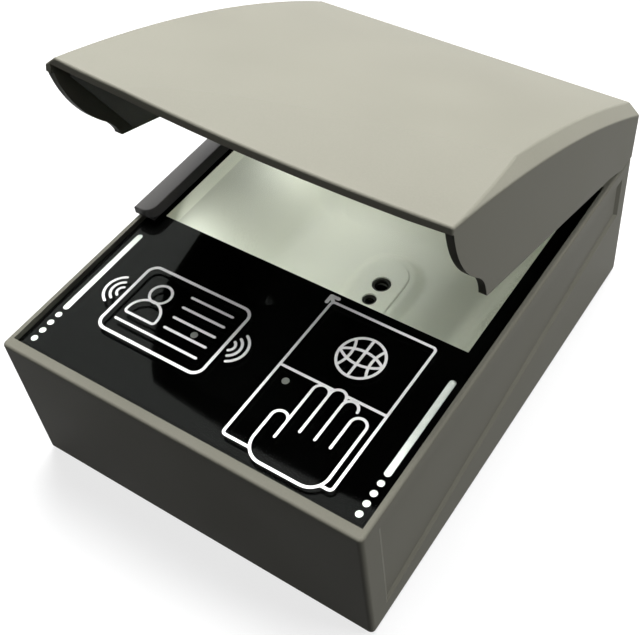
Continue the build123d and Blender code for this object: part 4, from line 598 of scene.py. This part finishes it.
class Pen:
    """Draws printed lines: a short edge is pushed along straights and spun round arcs.

    Each line lies a little higher than the one before, so that no two faces coincide where
    lines cross. All lengths are in millimetres.
    """

    SAME_POINT = 0.0005
    BURIED = 0.02
    LAYER = 0.0015
    CORNER_GAP = 0.01
    CAP_SEGMENTS = 16

    def __init__(self, width: float, thickness: float) -> None:
        """Take up a pen.

        Args:
            width: Line width in millimetres.
            thickness: Thickness of the ink in millimetres.
        """
        self.mesh = bmesh.new()
        self.width = width
        self.thickness = thickness
        self.lines = 0

    def line(self, start: tuple[float, float], heading: float, *moves: tuple[float, ...]) -> None:
        """Draw one line, with round ends unless it closes on itself.

        Args:
            start: Where it starts, in millimetres.
            heading: Its first direction in degrees from +X.
            moves: A length for a straight, or a radius and an angle in degrees for an arc,
                positive to the left.
        """
        first = Vector((*start, 0.0))
        angle = math.radians(heading)
        aside = Vector((-math.sin(angle), math.cos(angle), 0.0)) * self.width / 2
        strip = bmesh.new()
        verts = [strip.verts.new(first - aside), strip.verts.new(first + aside)]
        stroke = Stroke(strip, [strip.edges.new(verts)], first, angle)
        for move in moves:
            if len(move) == 1:
                stroke.push(*move)
            else:
                stroke.spin(*move)
        bmesh.ops.remove_doubles(strip, verts=strip.verts, dist=self.CORNER_GAP)
        self.raise_ink(strip)
        if (first - stroke.spot).length > self.width:
            self.cap(first)
            self.cap(stroke.spot)

    def cap(self, spot: Vector) -> None:
        """Put a round end on a line.

        Args:
            spot: Where the line ends, in millimetres.
        """
        disc = bmesh.new()
        bmesh.ops.create_circle(
            disc,
            matrix=Matrix.Translation(spot),
            segments=self.CAP_SEGMENTS,
            radius=self.width / 2,
            cap_ends=True,
        )
        self.raise_ink(disc)

    def raise_ink(self, flat: bmesh.types.BMesh) -> None:
        """Give a flat mesh the ink's thickness and add it to the print, one layer higher.

        Args:
            flat: The flat mesh, which is freed.
        """
        bmesh.ops.recalc_face_normals(flat, faces=flat.faces)
        top = bmesh.ops.extrude_face_region(flat, geom=flat.faces[:], use_keep_orig=True)["geom"]
        raised = [item for item in top if isinstance(item, bmesh.types.BMVert)]
        rise = self.BURIED + self.thickness + self.LAYER * self.lines
        bmesh.ops.translate(flat, verts=raised, vec=(0.0, 0.0, rise))
        self.lines += 1
        bmesh.ops.recalc_face_normals(flat, faces=flat.faces)
        data = bpy.data.meshes.new("line")
        flat.to_mesh(data)
        flat.free()
        self.mesh.from_mesh(data)
        bpy.data.meshes.remove(data)

    def circle(self, centre: tuple[float, float], radius: float) -> None:
        """Draw a whole circle."""
        self.line((centre[0] + radius, centre[1]), 90.0, (radius, 180.0), (radius, 180.0))

    def arc(self, centre: tuple[float, float], radius: float, first: float, sweep: float) -> None:
        """Draw an arc to the left.

        Args:
            centre: Its centre, in millimetres.
            radius: Its radius, in millimetres.
            first: The angle where it starts, in degrees from +X.
            sweep: The angle that it covers, in degrees.
        """
        start = math.radians(first)
        point = (centre[0] + radius * math.cos(start), centre[1] + radius * math.sin(start))
        self.line(point, first + 90.0, (radius, sweep))

    def box(self, low: tuple[float, float], high: tuple[float, float], radius: float) -> None:
        """Draw a rectangle with rounded corners.

        Args:
            low: Its lower left corner, in millimetres.
            high: Its upper right corner, in millimetres.
            radius: The radius of its corners, in millimetres.
        """
        across = high[0] - low[0] - 2 * radius
        along = high[1] - low[1] - 2 * radius
        corner = (radius, 90.0)
        sides = ((across,), corner, (along,), corner, (across,), corner, (along,), corner)
        self.line((low[0] + radius, low[1]), 0.0, *sides)

    def finish(self, place: Vector) -> bmesh.types.BMesh:
        """Move the print to its place and hand it over.

        Args:
            place: Where the print's origin comes on the glass, in millimetres.

        Returns:
            The print's mesh.
        """
        sunk = place - Vector((0.0, 0.0, self.BURIED))
        bmesh.ops.translate(self.mesh, verts=self.mesh.verts, vec=sunk)
        return self.mesh


@dataclass
class GlassPrint:
    """The white marks on the glass, in millimetres from the body's middle and front face."""

    ink: float = 0.04
    card_line: float = 1.25
    thin_line: float = 1.1
    card_low: tuple[float, float] = (-55.8, 25.5)
    card_high: tuple[float, float] = (-6.8, 59.7)
    card_corner: float = 4.2
    head: tuple[float, float] = (-43.3, 49.0)
    head_radius: float = 4.45
    shoulders: tuple[float, float] = (-43.3, 37.8)
    shoulder_radius: float = 7.1
    shoulder_drop: float = 0.6
    shoulder_corner: float = 1.2
    text_left: float = -31.7
    text_right: float = -12.3
    text_heights: tuple[float, ...] = (53.8, 48.3, 42.8, 37.3)
    long_text_left: float = -51.0
    long_text_height: float = 31.6
    wave_centre: tuple[float, float] = (-5.4, 42.7)
    wave_radii: tuple[float, ...] = (2.4, 4.9, 7.5)
    wave_half_angle: float = 63.0
    page_low: tuple[float, float] = (15.9, 10.9)
    page_high: tuple[float, float] = (61.3, 79.0)
    page_corner: float = 1.5
    fold_height: float = 45.2
    globe: tuple[float, float] = (39.8, 61.9)
    globe_radius: float = 9.1
    meridian_offset: float = 4.45
    meridian_end: tuple[float, float] = (6.1, 6.4)
    parallel_rise: float = 3.15
    finger_lefts: tuple[float, ...] = (32.55, 38.9, 45.25, 51.65)
    finger_width: float = 6.35
    finger_tops: tuple[float, ...] = (41.9, 43.3, 41.3, 36.8)
    finger_roots: float = 24.7
    index_root: float = 18.8
    thumb_left: float = 26.15
    thumb_top: float = 25.7
    palm_low: float = 7.65
    palm_corners: tuple[float, float] = (8.0, 7.2)
    arrow_tip: tuple[float, float] = (14.0, 81.2)
    arrow_heading: float = -45.0
    arrow_line: float = 1.5
    arrow_arm: float = 3.3
    arrow_shaft: float = 3.1

    def place(self) -> Vector:
        """Return where the marks are measured from: mid width, body's front, glass's top."""
        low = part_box("body_shell")[0]
        return Vector((0.0, low.y / MM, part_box("cover_glass")[1].z / MM))

    def stamp(self, name: str, pen: Pen) -> None:
        """Add what a pen has drawn as a piece."""
        add_piece(name, pen.finish(self.place()), Finishes.INK, "base")

    def build(self) -> None:
        """Print every mark."""
        self.card()
        self.waves()
        self.page()
        self.hand()
        self.arrow()

    def card(self) -> None:
        """Draw the card: its outline, a plain bust and lines that stand for text."""
        pen = Pen(self.card_line, self.ink)
        pen.box(self.card_low, self.card_high, self.card_corner)
        pen.width = self.thin_line
        pen.circle(self.head, self.head_radius)
        corner = self.shoulder_corner
        radius = self.shoulder_radius
        left = self.shoulders[0] - radius
        middle = self.shoulders[1]
        foot = middle - self.shoulder_drop - corner
        flat = 2 * (radius - corner)
        pen.line(
            (left + corner, foot),
            0.0,
            (flat,),
            (corner, 90.0),
            (self.shoulder_drop,),
            (radius, 180.0),
            (self.shoulder_drop,),
            (corner, 90.0),
        )
        for height in self.text_heights:
            pen.line((self.text_left, height), 0.0, (self.text_right - self.text_left,))
        length = self.text_right - self.long_text_left
        pen.line((self.long_text_left, self.long_text_height), 0.0, (length,))
        self.stamp("card_print", pen)

    def waves(self) -> None:
        """Draw three arcs at each end of the card, the sign of a contactless reader."""
        pen = Pen(self.thin_line, self.ink)
        middle = (self.card_low[0] + self.card_high[0]) / 2
        for radius in self.wave_radii:
            pen.arc(self.wave_centre, radius, -self.wave_half_angle, 2 * self.wave_half_angle)
            mirrored = (2 * middle - self.wave_centre[0], self.wave_centre[1])
            pen.arc(mirrored, radius, 180 - self.wave_half_angle, 2 * self.wave_half_angle)
        self.stamp("contactless_print", pen)

    def page(self) -> None:
        """Draw the open passport: its outline, its fold and a plain globe."""
        pen = Pen(self.thin_line, self.ink)
        left, low = self.page_low
        right, high = self.page_high
        corner = self.page_corner
        first, second = self.palm_corners
        palm_left = self.thumb_left + self.behind_palm(first)
        palm_right = self.finger_lefts[-1] + self.finger_width - self.behind_palm(second)
        side = high - low - 2 * corner
        turn = (corner, -90.0)
        pen.line(
            (palm_left, low),
            180.0,
            (palm_left - left - corner,),
            turn,
            (side,),
            turn,
            (right - left - 2 * corner,),
            turn,
            (side,),
            turn,
            (right - corner - palm_right,),
        )
        pen.line((left, self.fold_height), 0.0, (self.finger_lefts[1] - left,))
        pen.line((self.finger_lefts[2], self.fold_height), 0.0, (right - self.finger_lefts[2],))
        self.globe_lines(pen)
        self.stamp("passport_print", pen)

    def behind_palm(self, corner: float) -> float:
        """Return how far inside the palm's side its rounded corner meets the page's low edge."""
        drop = corner - (self.page_low[1] - self.palm_low)
        return corner - math.sqrt(corner**2 - drop**2)

    def globe_lines(self, pen: Pen) -> None:
        """Draw the globe's rim, three meridians and two parallels.

        Args:
            pen: The pen that draws the page.
        """
        x, y = self.globe
        pen.circle(self.globe, self.globe_radius)
        pen.line((x, y - self.globe_radius), 90.0, (2 * self.globe_radius,))
        reach, half = self.meridian_end
        sagitta = reach - self.meridian_offset
        radius = (half**2 + sagitta**2) / (2 * sagitta)
        opening = math.degrees(math.asin(half / radius))
        pen.arc((x + self.meridian_offset + radius, y), radius, 180 - opening, 2 * opening)
        pen.arc((x - self.meridian_offset - radius, y), radius, -opening, 2 * opening)
        rise = self.parallel_rise
        half = self.globe_radius
        radius = (half**2 + rise**2) / (2 * rise)
        opening = math.degrees(math.asin(half / radius))
        pen.arc((x, y + rise - radius), radius, 90 - opening, 2 * opening)
        pen.arc((x, y - rise + radius), radius, 270 - opening, 2 * opening)

    def hand(self) -> None:
        """Draw the hand that holds the passport down: a thumb, four fingers and the palm."""
        pen = Pen(self.thin_line, self.ink)
        tip = self.finger_width / 2
        first_corner, second_corner = self.palm_corners
        right = self.finger_lefts[-1] + self.finger_width
        pen.line(
            (self.finger_lefts[0], self.index_root),
            90.0,
            (self.finger_tops[0] - self.index_root,),
            (tip, -180.0),
        )
        for left, top in zip(self.finger_lefts[1:], self.finger_tops[1:]):
            last = left == self.finger_lefts[-1]
            end = ((top - self.palm_low - second_corner,),) if last else ()
            root = (left, self.finger_roots)
            pen.line(root, 90.0, (top - self.finger_roots,), (tip, -180.0), *end)
        pen.line(
            (right, self.palm_low + second_corner),
            -90.0,
            (second_corner, -90.0),
            (right - second_corner - self.thumb_left - first_corner,),
            (first_corner, -90.0),
            (self.thumb_top - self.palm_low - first_corner,),
            ((self.finger_lefts[0] - self.thumb_left) / 2, -180.0),
        )
        self.stamp("hand_print", pen)

    def arrow(self) -> None:
        """Draw the small arrow that says where the passport's corner goes."""
        pen = Pen(self.arrow_line, self.ink)
        x, y = self.arrow_tip
        pen.line((x, y - self.arrow_arm), 90.0, (self.arrow_arm,))
        pen.line((x, y), 0.0, (self.arrow_arm,))
        pen.line((x, y), self.arrow_heading, (self.arrow_shaft,))
        self.stamp("arrow_print", pen)


@dataclass
class GlassTop:
    """Glass with its black print, the light guides, the sensors and the stop rail."""

    marks: GlassPrint

    def build(self) -> None:
        """Print the marks and dress the nodes."""
        self.marks.build()
        dress(Finishes.GLASS, "cover_glass")
        dress(Finishes.BLACK_PRINT, "black_mask")
        dress(Finishes.GUIDE, "status_light_guide_left", "status_light_guide_right")
        dress(Finishes.SENSOR_WINDOW, "presence_sensors")
        dress(Finishes.RAIL, "stop_rail")
        dress(Finishes.RUBBER, "rail_gasket", "adhesive_frame")


@dataclass
class Body:
    """Body shell, bottom plate, feet, ports and what holds them."""

    def build(self) -> None:
        """Dress the nodes."""
        dress(Finishes.PAINT, "body_shell")
        dress(Finishes.DARK_PLASTIC, "bottom_plate", "power_inlet")
        dress(Finishes.RUBBER, "rubber_feet")
        screws = ("bottom_screws", "chamber_screws", "antenna_post_screws", "data_port")
        dress(Finishes.SCREW, *screws)


@dataclass
class Chamber:
    """The white chamber under the window, with its lamps and cameras."""

    def build(self) -> None:
        """Dress the nodes."""
        dress(Finishes.CHAMBER, "light_chamber", "boss_cover")
        dress(Finishes.DARK_PLASTIC, "main_lens_barrel", "second_lens_barrel")
        dress(Finishes.LENS, "main_lens", "second_lens")
        dress(Finishes.SENSOR_CHIP, "image_sensors")
        dress(Finishes.DIFFUSER, "light_diffuser_front", "light_diffuser_rear")
        dress(Finishes.WHITE_LAMP, "white_lamps")
        dress(Finishes.ULTRAVIOLET_LAMP, "ultraviolet_lamps")
        dress(Finishes.INFRARED_LAMP, "infrared_lamps")


@dataclass
class Electronics:
    """Boards, their chips, posts, screws and cables."""

    def build(self) -> None:
        """Dress the nodes."""
        boards = ("camera_board", "light_board_front", "light_board_rear", "antenna_board")
        dress(Finishes.BOARD, *boards, "main_board", "port_board")
        dress(Finishes.CHIP, "processor", "memory_chips")
        dress(Finishes.STATUS_LAMP, "status_lamps")
        dress(Finishes.HEAT_SINK, "heat_sink")
        dress(Finishes.BRASS, "antenna_posts")
        dress(Finishes.RIBBON, "port_ribbon_cable", "camera_ribbon_cable")
        screws = ("main_board_screws", "camera_board_screws", "port_board_screws")
        dress(Finishes.SCREW, *screws, "antenna_board_screws")


@dataclass
class Hood:
    """Hood shell with its liner, and the hinges that hold it open."""

    def build(self) -> None:
        """Dress the nodes."""
        dress(Finishes.PAINT, "hood_shell")
        dress(Finishes.DARK_PLASTIC, "hood_liner")
        arms = ("hinge_arm_left", "hinge_arm_right")
        dress(Finishes.HINGE, "hinge_bracket_left", "hinge_bracket_right", *arms)
        small = ("liner_screws", "hinge_pins", "friction_washers", "disc_washers")
        dress(Finishes.SCREW, *small, "hinge_nuts", "bracket_screws", "arm_screws")


@dataclass(frozen=True)
class Lamp:
    """A soft box: its place, width and height in metres, watts, and whether gloss shows it."""

    name: str
    place: tuple[float, float, float]
    width: float
    height: float
    power: float
    mirrored: bool


@dataclass
class Studio:
    """Pale floor, soft boxes, surroundings and camera.

    The sky goes from low to high between the horizon and the height of its top, and the fill
    is its strength for rays that only carry light. The last four are the camera's place and
    its axes.
    """

    aim: tuple[float, float, float] = (0.0, 0.0, 0.08)
    floor_size: float = 6.0
    floor_glow: float = 0.74
    floor_pale: Colour = (113, 113, 113)
    floor_dim: Colour = (14, 14, 14)
    sky_low: float = 0.8
    sky_high: float = 0.85
    sky_top: float = 0.6
    sky_fill: float = 0.02
    lamps: tuple[Lamp, ...] = (
        Lamp("window", (-1.0, 1.7, 0.9), 1.8, 0.8, 62.0, True),
        Lamp("ceiling", (-0.1, 0.3, 1.0), 0.7, 0.5, 32.0, False),
        Lamp("right_high", (1.2, 0.45, 0.9), 0.6, 0.6, 22.0, False),
        Lamp("front_high", (0.15, -0.55, 1.35), 0.6, 0.5, 5.0, False),
    )
    chamber_power: float = 0.025
    chamber_strip: tuple[float, float] = (0.112, 0.012)
    chamber_strip_x: float = -0.012
    chamber_strip_gap: float = 0.001
    focal_length: float = 62.05
    sensor_width: float = 36.0
    nearest_seen: float = 0.01
    shift: tuple[float, float] = (-0.0781, -0.0539)
    eye: tuple[float, float, float] = (0.18919, -0.2356, 0.38183)
    right: tuple[float, float, float] = (0.840202, 0.539141, -0.058208)
    down: tuple[float, float, float] = (0.370898, -0.649656, -0.663613)
    ahead: tuple[float, float, float] = (-0.395596, 0.53598, -0.745808)

    def build(self) -> None:
        """Set up the whole studio."""
        self.floor()
        self.surroundings()
        for lamp in self.lamps:
            self.hang(lamp, self.aim)
        self.light_chamber()
        self.camera()
        bpy.context.scene.view_settings.view_transform = "Standard"

    def floor(self) -> None:
        """Lay a pale floor that shows white and keeps the scanner's shadow."""
        mesh = bmesh.new()
        bmesh.ops.create_grid(mesh, x_segments=2, y_segments=2, size=self.floor_size / 2)
        data = bpy.data.meshes.new("studio_floor")
        mesh.to_mesh(data)
        mesh.free()
        floor = bpy.data.objects.new("studio_floor", data)
        bpy.context.scene.collection.objects.link(floor)
        graph = Graph.of_material("studio_floor_white")
        glow = graph.add("Emission", Color=(1, 1, 1, 1), Strength=self.floor_glow).outputs[0]
        pale = graph.add("BsdfDiffuse", Color=linear(self.floor_pale)).outputs[0]
        dim = graph.add("BsdfDiffuse", Color=linear(self.floor_dim)).outputs[0]
        bright = graph.add("AddShader")
        graph.feed(bright.inputs[0], glow)
        graph.feed(bright.inputs[1], pale)
        mix = graph.add("MixShader", Fac=self.seen(graph))
        graph.feed(mix.inputs[1], dim)
        graph.feed(mix.inputs[2], bright.outputs[0])
        data.materials.append(graph.finish(mix.outputs[0]))

    def seen(self, graph: Graph) -> bpy.types.NodeSocket:
        """Tell the rays that draw the picture from those that only carry light.

        Args:
            graph: The tree that asks.

        Returns:
            1 for rays from the camera, a mirror or clear glass, and 0 for others.
        """
        path = graph.add("LightPath").outputs
        mirrored = graph.math("MAXIMUM", path["Is Glossy Ray"], path["Is Transmission Ray"])
        return graph.math("MAXIMUM", path["Is Camera Ray"], mirrored)

    def surroundings(self) -> None:
        """Surround the scanner with white for the camera, pale for mirrors and dim for the rest."""
        world = bpy.data.worlds.new("studio")
        bpy.context.scene.world = world
        graph = Graph(world)
        direction = graph.add("TexCoord").outputs["Generated"]
        height = graph.add("SeparateXYZ", Vector=direction).outputs["Z"]
        limits = {"From_Max": self.sky_top, "To_Min": self.sky_low, "To_Max": self.sky_high}
        sky = graph.add("MapRange", Value=height, **limits).outputs[0]
        path = graph.add("LightPath").outputs
        mirrored = graph.add("Mix")
        graph.feed(mirrored.inputs[0], path["Is Glossy Ray"])
        graph.feed(mirrored.inputs[2], self.sky_fill)
        graph.feed(mirrored.inputs[3], sky)
        strength = graph.math("MAXIMUM", path["Is Camera Ray"], mirrored.outputs[0])
        graph.finish(graph.add("Background", Strength=strength).outputs[0])

    def light_chamber(self) -> None:
        """Light the white chamber from its two lamp strips, as when the scanner is reading."""
        low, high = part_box("light_chamber")
        middle = Vector(((low.x + high.x) / 2, (low.y + high.y) / 2, low.z))
        for name in ("front", "rear"):
            near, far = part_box(f"light_diffuser_{name}")
            place = (self.chamber_strip_x, (near.y + far.y) / 2, near.z - self.chamber_strip_gap)
            strip = Lamp(f"chamber_{name}", place, *self.chamber_strip, self.chamber_power, False)
            self.hang(strip, tuple(middle))

    def hang(self, lamp: Lamp, aim: tuple[float, float, float]) -> None:
        """Hang a soft box that points at a place.

        Args:
            lamp: The soft box.
            aim: What it points at.
        """
        light = bpy.data.lights.new(lamp.name, "AREA")
        light.shape = "RECTANGLE"
        light.size = lamp.width
        light.size_y = lamp.height
        light.energy = lamp.power
        box = bpy.data.objects.new(lamp.name, light)
        bpy.context.scene.collection.objects.link(box)
        box.location = lamp.place
        toward = Vector(aim) - box.location
        box.rotation_euler = toward.to_track_quat("-Z", "Y").to_euler()
        box.visible_camera = False
        box.visible_glossy = lamp.mirrored

    def camera(self) -> None:
        """Set the camera at the photograph's viewing angle."""
        data = bpy.data.cameras.new("camera")
        data.lens = self.focal_length
        data.sensor_fit = "HORIZONTAL"
        data.sensor_width = self.sensor_width
        data.shift_x, data.shift_y = self.shift
        data.clip_start = self.nearest_seen
        camera = bpy.data.objects.new("camera", data)
        bpy.context.scene.collection.objects.link(camera)
        axes = Matrix((self.right, [-v for v in self.down], [-v for v in self.ahead])).transposed()
        camera.matrix_world = Matrix.Translation(self.eye) @ axes.to_4x4()
        bpy.context.scene.camera = camera


def main() -> None:
    """Build the scanner's looks and its studio."""
    logging.basicConfig(level=logging.INFO, format="%(message)s")
    Studio().build()
    for assembly in (Body(), GlassTop(GlassPrint()), Chamber(), Electronics(), Hood()):
        assembly.build()
        LOG.info("%s done", type(assembly).__name__)


if __name__ == "__main__":
    main()
